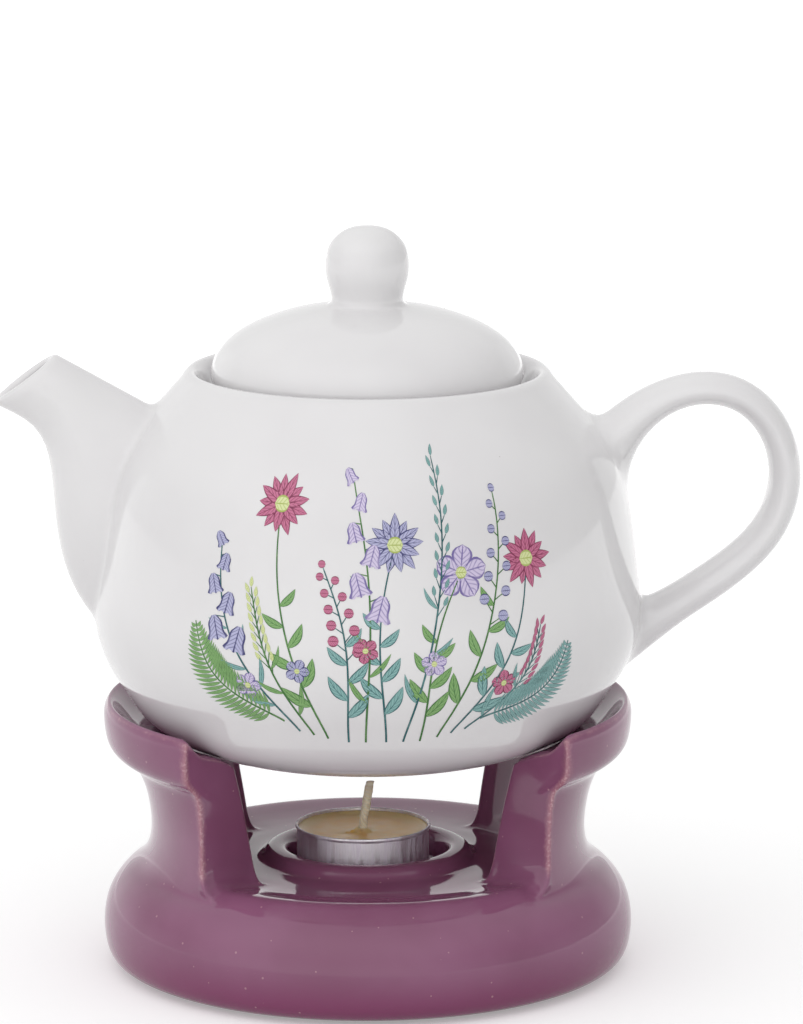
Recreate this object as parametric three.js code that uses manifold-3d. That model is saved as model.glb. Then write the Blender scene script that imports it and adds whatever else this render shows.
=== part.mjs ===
// Ceramic food warmer: a burner stand with two cradle arms, a tealight in its collar,
// and the lidded teapot that the stand keeps warm.
// Millimetres, +Z up. The stand, the teapot and the lid share one upright axis,
// the spout points along -X and the handle along +X.
import * as THREE from 'three';
import { mergeVertices } from 'three/addons/utils/BufferGeometryUtils.js';
import Module from 'manifold-3d';

const wasm = await Module();
wasm.setup();

// Clearances between pieces
const seat_gap = 0.3;
const luted_gap = 0.3;
const candle_gap = 0.35;

// Stand: the round base
const base_radius = 74.15;
const base_widest_height = 12;
const base_lower_fullness = 2.75;
const base_upper_fullness = 1.7;
const foot_ring_radius = 62;
const foot_ring_width = 8;
const foot_recess_depth = 3;
const plateau_radius = 61;
const plateau_height = 31.3;
const moat_height = 27.8;
const moat_width = 4;
const plateau_flat = 7;
const moat_bank = 12;

// Stand: the collar that holds the tealight
const collar_rise = 5.4;
const collar_width = 6;
const collar_draft = 1.6;
const collar_fillet = 1.4;
const collar_edge = 2;
const recess_depth = 7.5;
const recess_draft = 1.2;
const recess_fillet = 1;
const tealight_play = 2;

// Stand: the two cradle arms
const arm_half_angle = 43.5;
const neck_radius = 60.1;
const neck_height = 36;
const lip_radius = 73.6;
const lip_height = 70;
const rim_height = 76;
const rim_roll = 3.2;
const rim_inner_drop = 0.7;
const cradle_bank_run = 4.6;
const cradle_bank_rise = 3;
const seat_outer_radius = 61.2;
const seat_inner_radius = 54.7;
const seat_height = 66.2;
const seat_rise = 1.7;
const seat_nose = 2.2;
const arm_foot_radius = 45.4;
const arm_foot_fillet = 3;
const arm_root_depth = 3;

// Tealight
const tealight_radius = 19;
const tealight_height = 13;
const tealight_offset_x = -1.4;
const foil_thickness = 0.5;
const foil_bead = 0.6;
const foil_bead_height = 0.9;
const foil_edge = 0.6;
const wax_level = 11.2;
const wax_dish = 0.5;
const wax_under_flame = 1;
const wick_radius = 0.85;
const wick_length = 24;
const wick_lean = 2.2;
const sustainer_radius = 6;
const sustainer_thickness = 0.4;
const sustainer_collar_height = 3.6;
const sustainer_wall = 0.4;

// Teapot body
const pot_height = 105.5;
const pot_belly_radius = 76.2;
const pot_belly_height = 38;
const pot_lower_fullness = 1.7;
const pot_foot_radius = 45.1;
const pot_foot_recess_radius = 36;
const pot_foot_recess_depth = 1.5;
const pot_wall = 4.6;
const pot_floor = 6;
const belly_blend = 2;
const shoulder_start_radius = 73.2;
const shoulder_start_height = 66;
const shoulder_corner_height = 80.6;
const shoulder_end_height = 93.4;
const shoulder_slope = 0.875;
const pot_rim_roll = 1.6;
const pot_rim_crest_width = 1.6;

// Teapot gallery and the lid that sits in it
const gallery_depth = 8.3;
const gallery_radius = 44.6;
const gallery_ledge_thickness = 4.6;
const pot_mouth_radius = 38;
const gallery_flare = 1.9;
const gallery_fillet = 2.2;
const pot_mouth_edge = 1.2;
const lid_side_gap = 3;
const lid_flange_gap = 2.4;
const lid_flange_depth = 11.3;
const lid_flange_thickness = 4.2;
const lid_flange_edge = 2.4;
const lid_edge_rounding = 3.2;
const lid_edge_height = 4.5;
const lid_dome_height = 25.3;
const lid_dome_wall = 4.8;
const knob_radius = 11.65;
const knob_neck_radius = 9.9;
const knob_centre_rise = 10;
const knob_height = 22.4;
const knob_flare_height = 7;
const tab_azimuth = 234;
const tab_width = 9;
const tab_height = 4;
const tab_clearance = 0.5;

// Spout, with heights from the teapot's underside
const spout_overhang = 27;
const spout_lip_height = 96.5;
const spout_mouth_length = 20.8;
const spout_mouth_tilt = 37.8;
const spout_mouth_half_width = 8.5;
const spout_root_half_width = 20;
const spout_root_top_drop = 2.1;
const spout_root_bottom_height = 28;
const spout_root_sink = 8.2;
const spout_throat_overhang = 12.8;
const spout_narrowing = 0.8;
const spout_wall = 3.8;
const strainer_hole_radius = 2.5;
const strainer_pitch = 8.6;
const strainer_height = 60;

// Handle, with heights from the teapot's underside
const handle_overhang = 44.7;
const handle_thickness = 8.8;
const handle_width = 18;
const handle_top_height = 98.9;
const handle_side_drop = 23.4;
const handle_upper_run = 57.5;
const handle_upper_drop = 20.5;
const handle_lower_run = 53;
const handle_lower_drop = 48.5;
const handle_root_flare = 1.75;
const handle_root_spread = 0.45;

// Fineness of the round shapes
const stand_sides = 48;
const pot_sides = 44;
const lid_sides = 36;
const small_sides = 28;
const tiny_sides = 16;
const spout_sides = 20;
const spout_steps = 12;
const handle_sides = 14;
const handle_steps = 24;

// Solids

function solid(geometry) {
  geometry.deleteAttribute('normal');
  geometry.deleteAttribute('uv');
  const merged = mergeVertices(geometry, 1e-4);
  const index = merged.index.array;
  const triangles = [];
  for (let i = 0; i < index.length; i += 3) {
    const [a, b, c] = [index[i], index[i + 1], index[i + 2]];
    if (a !== b && b !== c && c !== a) triangles.push(a, b, c);
  }
  return new wasm.Manifold(new wasm.Mesh({
    numProp: 3,
    vertProperties: new Float32Array(merged.attributes.position.array),
    triVerts: new Uint32Array(triangles),
  }));
}

function geometryOf(body) {
  const mesh = body.getMesh();
  const geometry = new THREE.BufferGeometry();
  geometry.setAttribute('position', new THREE.BufferAttribute(mesh.vertProperties, 3));
  geometry.setIndex(new THREE.BufferAttribute(mesh.triVerts, 1));
  return geometry;
}

// A closed outline of (radius, height) points turned round the upright axis.
function revolved(points, sides) {
  const outline = points.map(([r, z]) => new THREE.Vector2(Math.max(r, 0), z));
  return new THREE.LatheGeometry(outline, sides).rotateX(Math.PI / 2);
}

// A skin over rings of equal point count, with flat ends.
function lofted(rings) {
  const count = rings[0].length;
  const positions = rings.flat().flatMap((p) => [p.x, p.y, p.z]);
  const index = [];
  for (let i = 0; i < rings.length - 1; i += 1) {
    for (let j = 0; j < count; j += 1) {
      const a = i * count + j;
      const b = i * count + (j + 1) % count;
      index.push(a, b, a + count, b, b + count, a + count);
    }
  }
  const last = (rings.length - 1) * count;
  for (let j = 1; j < count - 1; j += 1) {
    index.push(0, j + 1, j);
    index.push(last, last + j, last + j + 1);
  }
  const geometry = new THREE.BufferGeometry();
  geometry.setAttribute('position', new THREE.Float32BufferAttribute(positions, 3));
  geometry.setIndex(index);
  return geometry;
}

function pathPoints(path, divisions) {
  return path.getPoints(divisions).map((p) => [p.x, p.y]);
}

// A quarter of a rounded profile: 0 at its start, 1 where it is widest.
function bulge(share, fullness) {
  return Math.pow(1 - Math.pow(1 - share, fullness), 1 / fullness);
}

function steps(count) {
  return Array.from({ length: count + 1 }, (_, i) => i / count);
}

// Height of an outline at a radius, taken between its points.
function heightAt(outline, radius) {
  for (let i = 1; i < outline.length; i += 1) {
    const [r0, z0] = outline[i - 1];
    const [r1, z1] = outline[i];
    const inside = radius >= Math.min(r0, r1) && radius <= Math.max(r0, r1);
    if (inside && r0 !== r1) return z0 + (z1 - z0) * (radius - r0) / (r1 - r0);
  }
  return outline[outline.length - 1][1];
}

// Stand

const recess_radius = tealight_radius + tealight_play;
const recess_height = moat_height + collar_rise - recess_depth;

function baseOutline() {
  const recess_top = recess_radius + recess_draft;
  const collar_inner = recess_top + collar_edge;
  const collar_outer = recess_top + collar_width;
  const collar_top = moat_height + collar_rise;
  const collar_foot = collar_outer + collar_draft;
  const outline = [
    [0, foot_recess_depth],
    [foot_ring_radius - foot_ring_width - foot_recess_depth, foot_recess_depth],
    [foot_ring_radius - foot_ring_width, 0],
    [foot_ring_radius, 0],
  ];
  for (const t of [0.08, 0.2, 0.4, 0.65, 1]) {
    const r = foot_ring_radius + (base_radius - foot_ring_radius) * bulge(t, base_lower_fullness);
    outline.push([r, base_widest_height * t]);
  }
  for (const t of [0.75, 0.55, 0.38, 0.24, 0.12, 0.04, 0]) {
    const r = plateau_radius + (base_radius - plateau_radius) * bulge(t, base_upper_fullness);
    outline.push([r, plateau_height - (plateau_height - base_widest_height) * t]);
  }
  const top = new THREE.Path();
  top.moveTo(plateau_radius - 1, plateau_height);
  top.bezierCurveTo(
    plateau_radius - plateau_flat, plateau_height,
    collar_foot + moat_bank, moat_height,
    collar_foot + moat_width, moat_height);
  top.lineTo(collar_foot + 1, moat_height);
  top.quadraticCurveTo(collar_foot, moat_height, collar_foot - 0.4, moat_height + collar_fillet);
  top.lineTo(collar_outer, collar_top - collar_edge * 0.8);
  top.quadraticCurveTo(collar_outer - 0.4, collar_top, collar_outer - collar_edge, collar_top);
  top.lineTo(collar_inner, collar_top);
  top.quadraticCurveTo(recess_top, collar_top, recess_top, collar_top - collar_fillet);
  top.lineTo(recess_radius, recess_height + recess_fillet);
  top.quadraticCurveTo(recess_radius, recess_height, recess_radius - recess_fillet, recess_height);
  top.lineTo(0, recess_height);
  return outline.concat(pathPoints(top, 3));
}

// The cradle's top, from the rim in to the nose of the seat.
function cradlePath(path) {
  const rim_inner = lip_radius - rim_roll;
  const seat_top = seat_height + seat_rise;
  path.lineTo(rim_inner, rim_height - rim_inner_drop);
  path.lineTo(seat_outer_radius + cradle_bank_run, seat_top + cradle_bank_rise);
  path.quadraticCurveTo(
    seat_outer_radius + cradle_bank_run * 0.4, seat_top,
    seat_outer_radius, seat_top);
  path.lineTo(seat_inner_radius, seat_height);
  path.quadraticCurveTo(
    seat_inner_radius - seat_nose * 0.8, seat_height - 0.4,
    seat_inner_radius - seat_nose, seat_height - seat_nose);
  return path;
}

// The arm's outer face from neck to lip, as shares of the run outwards and of the rise.
const neck_curve = [
  [0, 0],
  [0.067, 0.206],
  [0.207, 0.397],
  [0.407, 0.565],
  [0.674, 0.682],
  [0.896, 0.8],
  [1, 1],
];

function armOutline() {
  const root_height = moat_height - arm_root_depth;
  const foot_inner = arm_foot_radius - arm_foot_fillet;
  const path = new THREE.Path();
  path.moveTo(neck_radius, root_height);
  path.lineTo(neck_radius, plateau_height);
  path.splineThru(neck_curve.map(([out, up]) => new THREE.Vector2(
    neck_radius + (lip_radius - neck_radius) * out,
    neck_height + (lip_height - neck_height) * up)));
  path.lineTo(lip_radius - 0.1, rim_height - rim_roll);
  path.quadraticCurveTo(lip_radius - 0.2, rim_height, lip_radius - rim_roll * 0.75, rim_height);
  cradlePath(path);
  path.lineTo(arm_foot_radius, moat_height + arm_foot_fillet * 1.5);
  path.quadraticCurveTo(
    arm_foot_radius - 0.6, moat_height + arm_foot_fillet * 0.3,
    foot_inner, moat_height + 0.4);
  path.lineTo(foot_inner, root_height);
  path.closePath();
  return pathPoints(path, 2);
}

// An upright wedge from the axis outwards, centred on +X or -X.
function armWedge(direction) {
  const reach = base_radius * 2;
  const half = THREE.MathUtils.degToRad(arm_half_angle);
  const shape = new THREE.Shape();
  shape.moveTo(0, 0);
  shape.lineTo(reach * Math.cos(half), -reach * Math.sin(half));
  shape.lineTo(reach * Math.cos(half), reach * Math.sin(half));
  shape.closePath();
  const wedge = new THREE.ExtrudeGeometry(shape, { depth: rim_height * 2, bevelEnabled: false });
  if (direction < 0) wedge.rotateZ(Math.PI);
  return solid(wedge);
}

function warmerStand() {
  const base = solid(revolved(baseOutline(), stand_sides));
  const ring = solid(revolved(armOutline(), stand_sides));
  const left = ring.intersect(armWedge(-1));
  const right = ring.intersect(armWedge(1));
  return base.add(left).add(right);
}

// Tealight, with heights from its underside

function tealightCup() {
  const wall = tealight_radius - foil_bead;
  const inner = wall - foil_thickness;
  const bead_foot = tealight_height - foil_bead_height;
  return solid(revolved([
    [0, 0],
    [wall - foil_edge, 0],
    [wall, foil_edge],
    [wall, bead_foot - 0.4],
    [tealight_radius, bead_foot],
    [tealight_radius, tealight_height - 0.3],
    [tealight_radius - 0.3, tealight_height],
    [inner + 0.2, tealight_height - 0.3],
    [inner, bead_foot - 0.2],
    [inner, foil_thickness],
    [0, foil_thickness],
  ], small_sides));
}

const wax_radius = tealight_radius - foil_bead - foil_thickness - candle_gap;
const wax_floor = foil_thickness + candle_gap;
const sustainer_bore = wick_radius + candle_gap;
const sustainer_collar_radius = sustainer_bore + sustainer_wall;
const sustainer_floor = foil_thickness + 0.05;

function tealightWax() {
  const disc_top = sustainer_floor + sustainer_thickness + candle_gap;
  const collar_top = sustainer_floor + sustainer_collar_height + candle_gap;
  return solid(revolved([
    [sustainer_radius + candle_gap, wax_floor],
    [wax_radius, wax_floor],
    [wax_radius, wax_level],
    [wax_radius * 0.8, wax_level - wax_dish],
    [sustainer_bore, wax_level - wax_dish],
    [sustainer_bore, collar_top],
    [sustainer_collar_radius + candle_gap, collar_top],
    [sustainer_collar_radius + candle_gap, disc_top],
    [sustainer_radius + candle_gap, disc_top],
    [sustainer_radius + candle_gap, wax_floor],
  ], small_sides));
}

function wickSustainer() {
  const top = sustainer_floor + sustainer_collar_height;
  return solid(revolved([
    [sustainer_bore, sustainer_floor],
    [sustainer_radius, sustainer_floor],
    [sustainer_radius, sustainer_floor + sustainer_thickness],
    [sustainer_collar_radius, sustainer_floor + sustainer_thickness],
    [sustainer_collar_radius, top],
    [sustainer_bore, top],
    [sustainer_bore, sustainer_floor],
  ], tiny_sides));
}

function tealightWick() {
  const foot = sustainer_floor + sustainer_thickness;
  const section = new THREE.Shape();
  section.absarc(0, 0, wick_radius, 0, Math.PI * 2);
  const exposed = wax_level + wax_under_flame;
  const bend = foot + wick_length;
  const curve = new THREE.CatmullRomCurve3([
    new THREE.Vector3(0, 0, foot),
    new THREE.Vector3(0, 0, (foot + exposed) / 2),
    new THREE.Vector3(0, 0, exposed),
    new THREE.Vector3(wick_lean / 3, 0, (exposed + bend) / 2),
    new THREE.Vector3(wick_lean, 0, bend),
  ]);
  return solid(new THREE.ExtrudeGeometry(section, {
    steps: 10,
    curveSegments: 5,
    bevelEnabled: false,
    extrudePath: curve,
  }));
}

// Teapot, with heights from its underside

const side_foot_height = pot_belly_height + belly_blend;
const side_taper = (pot_belly_radius - shoulder_start_radius)
  / (shoulder_start_height - side_foot_height);
const shoulder_corner_radius = shoulder_start_radius
  - side_taper * (shoulder_corner_height - shoulder_start_height);
const shoulder_end_radius = shoulder_corner_radius
  - shoulder_slope * (shoulder_end_height - shoulder_corner_height);
const pot_rim_radius = shoulder_end_radius
  - shoulder_slope * (pot_height - pot_rim_roll - shoulder_end_height);

// The outer skin from the foot up to the rim, moved in by a wall or out by a clearance.
function potSkin(inset) {
  const points = [];
  const foot = inset > 0 ? pot_floor : -Math.max(-inset, 0);
  const belly = pot_belly_radius - inset;
  const foot_radius = pot_foot_radius - Math.max(inset, 0) * 0.6;
  for (const t of [0, 0.03, 0.09, 0.18, 0.32, 0.5, 0.7, 0.88]) {
    const r = foot_radius + (belly - foot_radius) * bulge(t, pot_lower_fullness);
    points.push([r, foot + (pot_belly_height - foot) * t]);
  }
  const side = new THREE.Path();
  const blend_end = (side_foot_height + shoulder_start_height) / 2;
  side.moveTo(belly, pot_belly_height);
  side.quadraticCurveTo(
    belly, side_foot_height,
    belly - side_taper * (blend_end - side_foot_height), blend_end);
  side.lineTo(shoulder_start_radius - inset, shoulder_start_height);
  side.quadraticCurveTo(
    shoulder_corner_radius - inset, shoulder_corner_height - inset * 0.42,
    shoulder_end_radius - inset * 0.75, shoulder_end_height - inset * 0.66);
  return points.concat(pathPoints(side, 4));
}

const ledge_height = pot_height - gallery_depth;

// Gallery and rim, from the mouth's lower edge out to the rim's outside.
function galleryPoints() {
  const crest_radius = pot_rim_radius - pot_rim_roll * 0.4;
  const path = new THREE.Path();
  path.moveTo(crest_radius, pot_height);
  path.lineTo(crest_radius - pot_rim_crest_width, pot_height - 0.3);
  path.quadraticCurveTo(
    gallery_radius + gallery_flare / 2, ledge_height + gallery_fillet * 1.4,
    gallery_radius, ledge_height + gallery_fillet * 0.75);
  path.quadraticCurveTo(
    gallery_radius - 0.6, ledge_height,
    gallery_radius - gallery_fillet, ledge_height);
  path.lineTo(pot_mouth_radius + pot_mouth_edge, ledge_height);
  path.quadraticCurveTo(
    pot_mouth_radius, ledge_height,
    pot_mouth_radius, ledge_height - pot_mouth_edge);
  path.lineTo(pot_mouth_radius, ledge_height - gallery_ledge_thickness);
  return pathPoints(path, 2);
}

function potOutline() {
  const inside = potSkin(pot_wall).reverse();
  return [
    [0, pot_foot_recess_depth],
    [pot_foot_recess_radius - pot_foot_recess_depth, pot_foot_recess_depth],
    [pot_foot_recess_radius, 0],
    ...potSkin(0),
    [pot_rim_radius, pot_height - pot_rim_roll],
    ...galleryPoints(),
    ...inside,
    [0, pot_floor],
  ];
}

// The teapot's outer form as one lump, grown by the gap that its fittings keep.
function potLump(gap) {
  return solid(revolved([
    [0, -gap],
    ...potSkin(-gap),
    [pot_rim_radius + gap, pot_height - pot_rim_roll + gap],
    [0, pot_height],
  ], pot_sides));
}

function teapotBody() {
  let body = solid(revolved(potOutline(), pot_sides));
  const places = [[0, 0]];
  for (let i = 0; i < 6; i += 1) {
    const angle = i * Math.PI / 3;
    places.push([strainer_pitch * Math.sin(angle), strainer_pitch * Math.cos(angle)]);
  }
  for (const [y, z] of places) {
    const drill = new THREE.CylinderGeometry(
      strainer_hole_radius, strainer_hole_radius, pot_belly_radius, 12);
    drill.rotateZ(Math.PI / 2);
    drill.translate(-pot_belly_radius, y, strainer_height + z);
    body = body.subtract(solid(drill));
  }
  return body;
}

// Spout: each ring is an ellipse between a point on the upper and on the lower edge.
function spoutEdges() {
  const tilt = THREE.MathUtils.degToRad(spout_mouth_tilt);
  const lip = [-(pot_belly_radius + spout_overhang), spout_lip_height];
  const mouth_top = [
    lip[0] + spout_mouth_length * Math.cos(tilt),
    lip[1] + spout_mouth_length * Math.sin(tilt),
  ];
  const root_top = [-(shoulder_end_radius - pot_wall), shoulder_end_height - spout_root_top_drop];
  const upper = new THREE.LineCurve(new THREE.Vector2(...root_top), new THREE.Vector2(...mouth_top));
  const beyond_throat = spout_overhang - spout_throat_overhang;
  const root_rise = spout_lip_height - spout_root_bottom_height;
  const lower = new THREE.SplineCurve([
    [-spout_root_sink, 0],
    [0, 0.09],
    [spout_throat_overhang * 0.52, 0.22],
    [spout_throat_overhang * 0.84, 0.38],
    [spout_throat_overhang, 0.62],
    [spout_throat_overhang + beyond_throat * 0.1, 0.82],
    [spout_throat_overhang + beyond_throat * 0.42, 0.92],
    [spout_overhang, 1],
  ].map(([beyond_belly, rise]) => new THREE.Vector2(
    -(pot_belly_radius + beyond_belly),
    spout_root_bottom_height + root_rise * rise)));
  return { upper, lower };
}

function spoutLoft(inset, overrun) {
  const { upper, lower } = spoutEdges();
  const rings = steps(spout_steps).map((t) => {
    const top = upper.getPoint(t);
    const low = lower.getPointAt(t);
    const narrowing = Math.pow(t, spout_narrowing);
    const half_width = spout_root_half_width
      + (spout_mouth_half_width - spout_root_half_width) * narrowing;
    const centre = top.clone().add(low).multiplyScalar(0.5);
    const half_length = top.clone().sub(low).length() / 2;
    const along = top.clone().sub(low).normalize();
    return steps(spout_sides).slice(0, -1).map((turn) => {
      const angle = turn * Math.PI * 2;
      const reach = Math.cos(angle) * (half_length - inset);
      return new THREE.Vector3(
        centre.x + along.x * reach,
        Math.sin(angle) * (half_width - inset),
        centre.y + along.y * reach);
    });
  });
  if (overrun > 0) {
    const shift = (ring, other) => ring.map((p, i) => {
      const step = p.clone().sub(other[i]).normalize().multiplyScalar(overrun);
      return p.clone().add(step);
    });
    rings.unshift(shift(rings[0], rings[1]));
    rings.push(shift(rings[rings.length - 1], rings[rings.length - 2]));
  }
  return solid(lofted(rings));
}

function teapotSpout() {
  const shell = spoutLoft(0, 0).subtract(spoutLoft(spout_wall, spout_wall));
  return shell.subtract(potLump(luted_gap));
}

// Handle: ellipses along a loop, wider and thicker towards both roots.
// Each limb's points are shares of its run inwards and of its fall.
function handleCurve() {
  const outermost = pot_belly_radius + handle_overhang - handle_thickness / 2;
  const side_height = handle_top_height - handle_side_drop;
  const upper_root = [[1, 1], [0.817, 0.56], [0.687, 0.244], [0.443, 0]];
  const upper_side = [[0.235, 0.077], [0.08, 0.41], [0, 1]];
  const lower = [[0.094, 0.346], [0.326, 0.592], [0.604, 0.779], [0.792, 0.887], [1, 1]];
  const limb = (shares, run, fall, top) => shares.map(([inwards, down]) => (
    new THREE.Vector3(outermost - run * inwards, 0, top - fall * down)));
  return new THREE.CatmullRomCurve3([
    ...limb(upper_root, handle_upper_run, handle_upper_drop, handle_top_height),
    ...limb(upper_side, handle_upper_run, handle_side_drop, handle_top_height),
    ...limb(lower, handle_lower_run, handle_lower_drop, side_height),
  ]);
}

function handleRings(curve) {
  return steps(handle_steps).map((t) => {
    const centre = curve.getPointAt(t);
    const tangent = curve.getTangentAt(t);
    const normal = new THREE.Vector3(tangent.z, 0, -tangent.x);
    const nearness = Math.pow(Math.abs(2 * t - 1), 6);
    const flare = 1 + (handle_root_flare - 1) * nearness;
    const half_thickness = handle_thickness / 2 * flare;
    const half_width = handle_width / 2 * (1 + (flare - 1) * handle_root_spread);
    return steps(handle_sides).slice(0, -1).map((turn) => {
      const angle = turn * Math.PI * 2;
      return centre.clone()
        .addScaledVector(normal, Math.cos(angle) * half_thickness)
        .add(new THREE.Vector3(0, Math.sin(angle) * half_width, 0));
    });
  });
}

function teapotHandle() {
  const bar = solid(lofted(handleRings(handleCurve())));
  return bar.subtract(potLump(luted_gap));
}

// Lid, with heights from the underside of its edge

const lid_radius = gallery_radius + gallery_flare - lid_side_gap;
const lid_flange_radius = pot_mouth_radius - lid_flange_gap;

function lidCover() {
  const flange_inner = lid_flange_radius - lid_flange_thickness;
  const dome = lid_dome_height - lid_edge_height;
  const path = new THREE.Path();
  path.moveTo(lid_flange_radius - lid_flange_edge, -lid_flange_depth);
  path.quadraticCurveTo(
    lid_flange_radius - 0.6, -lid_flange_depth,
    lid_flange_radius - 0.5, -lid_flange_depth + lid_flange_edge);
  path.lineTo(lid_flange_radius, -0.6);
  path.lineTo(lid_flange_radius + 0.6, 0);
  path.lineTo(lid_radius - lid_edge_rounding, 0);
  path.quadraticCurveTo(lid_radius - 0.6, 0.6, lid_radius, lid_edge_height);
  path.splineThru([
    new THREE.Vector2(lid_radius - 0.7, lid_edge_height + dome * 0.15),
    new THREE.Vector2(lid_radius - 4.7, lid_edge_height + dome * 0.45),
    new THREE.Vector2(lid_radius * 0.784, lid_edge_height + dome * 0.6),
    new THREE.Vector2(lid_radius * 0.6, lid_edge_height + dome * 0.745),
    new THREE.Vector2(lid_radius * 0.43, lid_edge_height + dome * 0.88),
    new THREE.Vector2(knob_neck_radius + 0.6, lid_dome_height),
  ]);
  const inner_top = lid_dome_height - lid_dome_wall;
  const outline = [
    ...pathPoints(path, 2),
    [0, lid_dome_height],
    [0, inner_top],
    [flange_inner * 0.35, inner_top - dome * 0.05],
    [flange_inner * 0.7, inner_top - dome * 0.25],
    [flange_inner * 0.94, inner_top - dome * 0.55],
    [flange_inner, 0],
    [flange_inner - 0.5, -lid_flange_depth + 1],
    [flange_inner + 0.6, -lid_flange_depth],
    [lid_flange_radius - lid_flange_edge, -lid_flange_depth],
  ];
  const cover = solid(revolved(outline, lid_sides));
  const reach = pot_mouth_radius - tab_clearance;
  const tab_shape = new THREE.Shape();
  tab_shape.moveTo(flange_inner + 1, -lid_flange_depth + 0.2);
  tab_shape.lineTo(reach - 1, -lid_flange_depth + 0.2);
  tab_shape.quadraticCurveTo(
    reach, -lid_flange_depth + tab_height * 0.4,
    reach - 1, -lid_flange_depth + tab_height * 0.8);
  tab_shape.lineTo(flange_inner + 1, -lid_flange_depth + tab_height + 1);
  tab_shape.closePath();
  const tab = new THREE.ExtrudeGeometry(tab_shape, {
    depth: tab_width,
    curveSegments: 4,
    bevelEnabled: false,
  });
  tab.translate(0, 0, -tab_width / 2);
  tab.rotateX(Math.PI / 2);
  tab.rotateZ(THREE.MathUtils.degToRad(tab_azimuth));
  return cover.add(solid(tab));
}

function lidKnob() {
  const foot = lid_dome_height + luted_gap;
  const centre = lid_dome_height + knob_centre_rise;
  const crown = lid_dome_height + knob_height - centre;
  const outline = [
    [0, foot],
    [knob_neck_radius, foot],
    [knob_neck_radius + 0.2, foot + knob_flare_height * 0.23],
    [knob_neck_radius + 0.9, foot + knob_flare_height * 0.63],
    [knob_radius - 0.3, foot + knob_flare_height],
  ];
  for (const angle of [0, 15, 30, 45, 60, 75, 90]) {
    const a = THREE.MathUtils.degToRad(angle);
    outline.push([knob_radius * Math.cos(a), centre + crown * Math.sin(a)]);
  }
  outline[outline.length - 1][0] = 0;
  return solid(revolved(outline, small_sides));
}

// Places of the loose pieces

// The lowest height at which the teapot's underside clears both cradle seats.
function teapotRest() {
  const cradle = pathPoints(cradlePath(new THREE.Path().moveTo(lip_radius - 1, rim_height)), 4);
  const skin = potSkin(0);
  const radii = steps(40).map((t) => seat_inner_radius + (lip_radius - 4 - seat_inner_radius) * t);
  const heights = radii.map((r) => heightAt(cradle, r) - heightAt(skin, r));
  return Math.max(...heights) + seat_gap;
}

const tealight_height_place = recess_height + seat_gap;
const teapot_height_place = teapotRest();
const lid_height_place = teapot_height_place + ledge_height + seat_gap;

// Colours and finishes
const plum_glaze = new THREE.MeshStandardMaterial({ color: 0x7c4a63, roughness: 0.18, metalness: 0 });
const white_glaze = new THREE.MeshStandardMaterial({ color: 0xefedee, roughness: 0.12, metalness: 0 });
const foil = new THREE.MeshStandardMaterial({ color: 0xc9c9cc, roughness: 0.3, metalness: 1 });
const wax = new THREE.MeshStandardMaterial({ color: 0xf0cf8d, roughness: 0.45, metalness: 0 });
const cotton = new THREE.MeshStandardMaterial({ color: 0xf1e6c4, roughness: 0.9, metalness: 0 });
const tinplate = new THREE.MeshStandardMaterial({ color: 0xb4b4b0, roughness: 0.35, metalness: 1 });

const food_warmer = new THREE.Group();

function place(name, body, material, x, z) {
  const mesh = new THREE.Mesh(geometryOf(body), material);
  mesh.name = name;
  mesh.position.set(x, 0, z);
  food_warmer.add(mesh);
  return mesh;
}

place('warmer_stand', warmerStand(), plum_glaze, 0, 0);
place('tealight_cup', tealightCup(), foil, tealight_offset_x, tealight_height_place);
place('tealight_wax', tealightWax(), wax, tealight_offset_x, tealight_height_place);
place('wick_sustainer', wickSustainer(), tinplate, tealight_offset_x, tealight_height_place);
place('tealight_wick', tealightWick(), cotton, tealight_offset_x, tealight_height_place);
place('teapot_body', teapotBody(), white_glaze, 0, teapot_height_place);
place('teapot_spout', teapotSpout(), white_glaze, 0, teapot_height_place);
place('teapot_handle', teapotHandle(), white_glaze, 0, teapot_height_place);
place('lid_cover', lidCover(), white_glaze, 0, lid_height_place);
place('lid_knob', lidKnob(), white_glaze, 0, lid_height_place);

// The origin is the centre of the whole warmer's footprint, on the table.
food_warmer.updateMatrixWorld(true);
const extent = new THREE.Box3().setFromObject(food_warmer);
food_warmer.position.x = -(extent.min.x + extent.max.x) / 2;

export default food_warmer;
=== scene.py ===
import math

import bmesh
import bpy
import numpy as np
from bpy.props import FloatProperty, FloatVectorProperty, IntProperty, PointerProperty
from mathutils import Matrix, Vector


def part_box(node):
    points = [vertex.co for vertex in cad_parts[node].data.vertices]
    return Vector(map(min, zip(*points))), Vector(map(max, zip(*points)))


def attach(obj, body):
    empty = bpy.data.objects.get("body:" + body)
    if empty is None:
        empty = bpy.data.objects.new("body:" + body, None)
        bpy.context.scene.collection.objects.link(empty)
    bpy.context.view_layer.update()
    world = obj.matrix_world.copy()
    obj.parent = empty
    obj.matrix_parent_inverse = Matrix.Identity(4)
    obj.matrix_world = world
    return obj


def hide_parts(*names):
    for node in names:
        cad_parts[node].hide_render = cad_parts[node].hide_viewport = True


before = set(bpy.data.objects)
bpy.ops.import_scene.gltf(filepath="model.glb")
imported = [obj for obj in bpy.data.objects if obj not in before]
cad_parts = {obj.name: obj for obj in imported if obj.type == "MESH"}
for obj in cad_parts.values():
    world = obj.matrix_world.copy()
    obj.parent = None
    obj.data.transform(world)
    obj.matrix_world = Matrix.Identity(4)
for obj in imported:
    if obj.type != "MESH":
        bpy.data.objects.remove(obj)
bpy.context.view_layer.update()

bl_info = {
    "name": "Teapot Warmer",
    "version": (1, 0, 0),
    "blender": (4, 5, 0),
    "location": "View3D > Sidebar > Warmer",
    "description": "Builds a glazed teapot warmer with its teapot, lid and tealight",
    "category": "Object",
}

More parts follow.
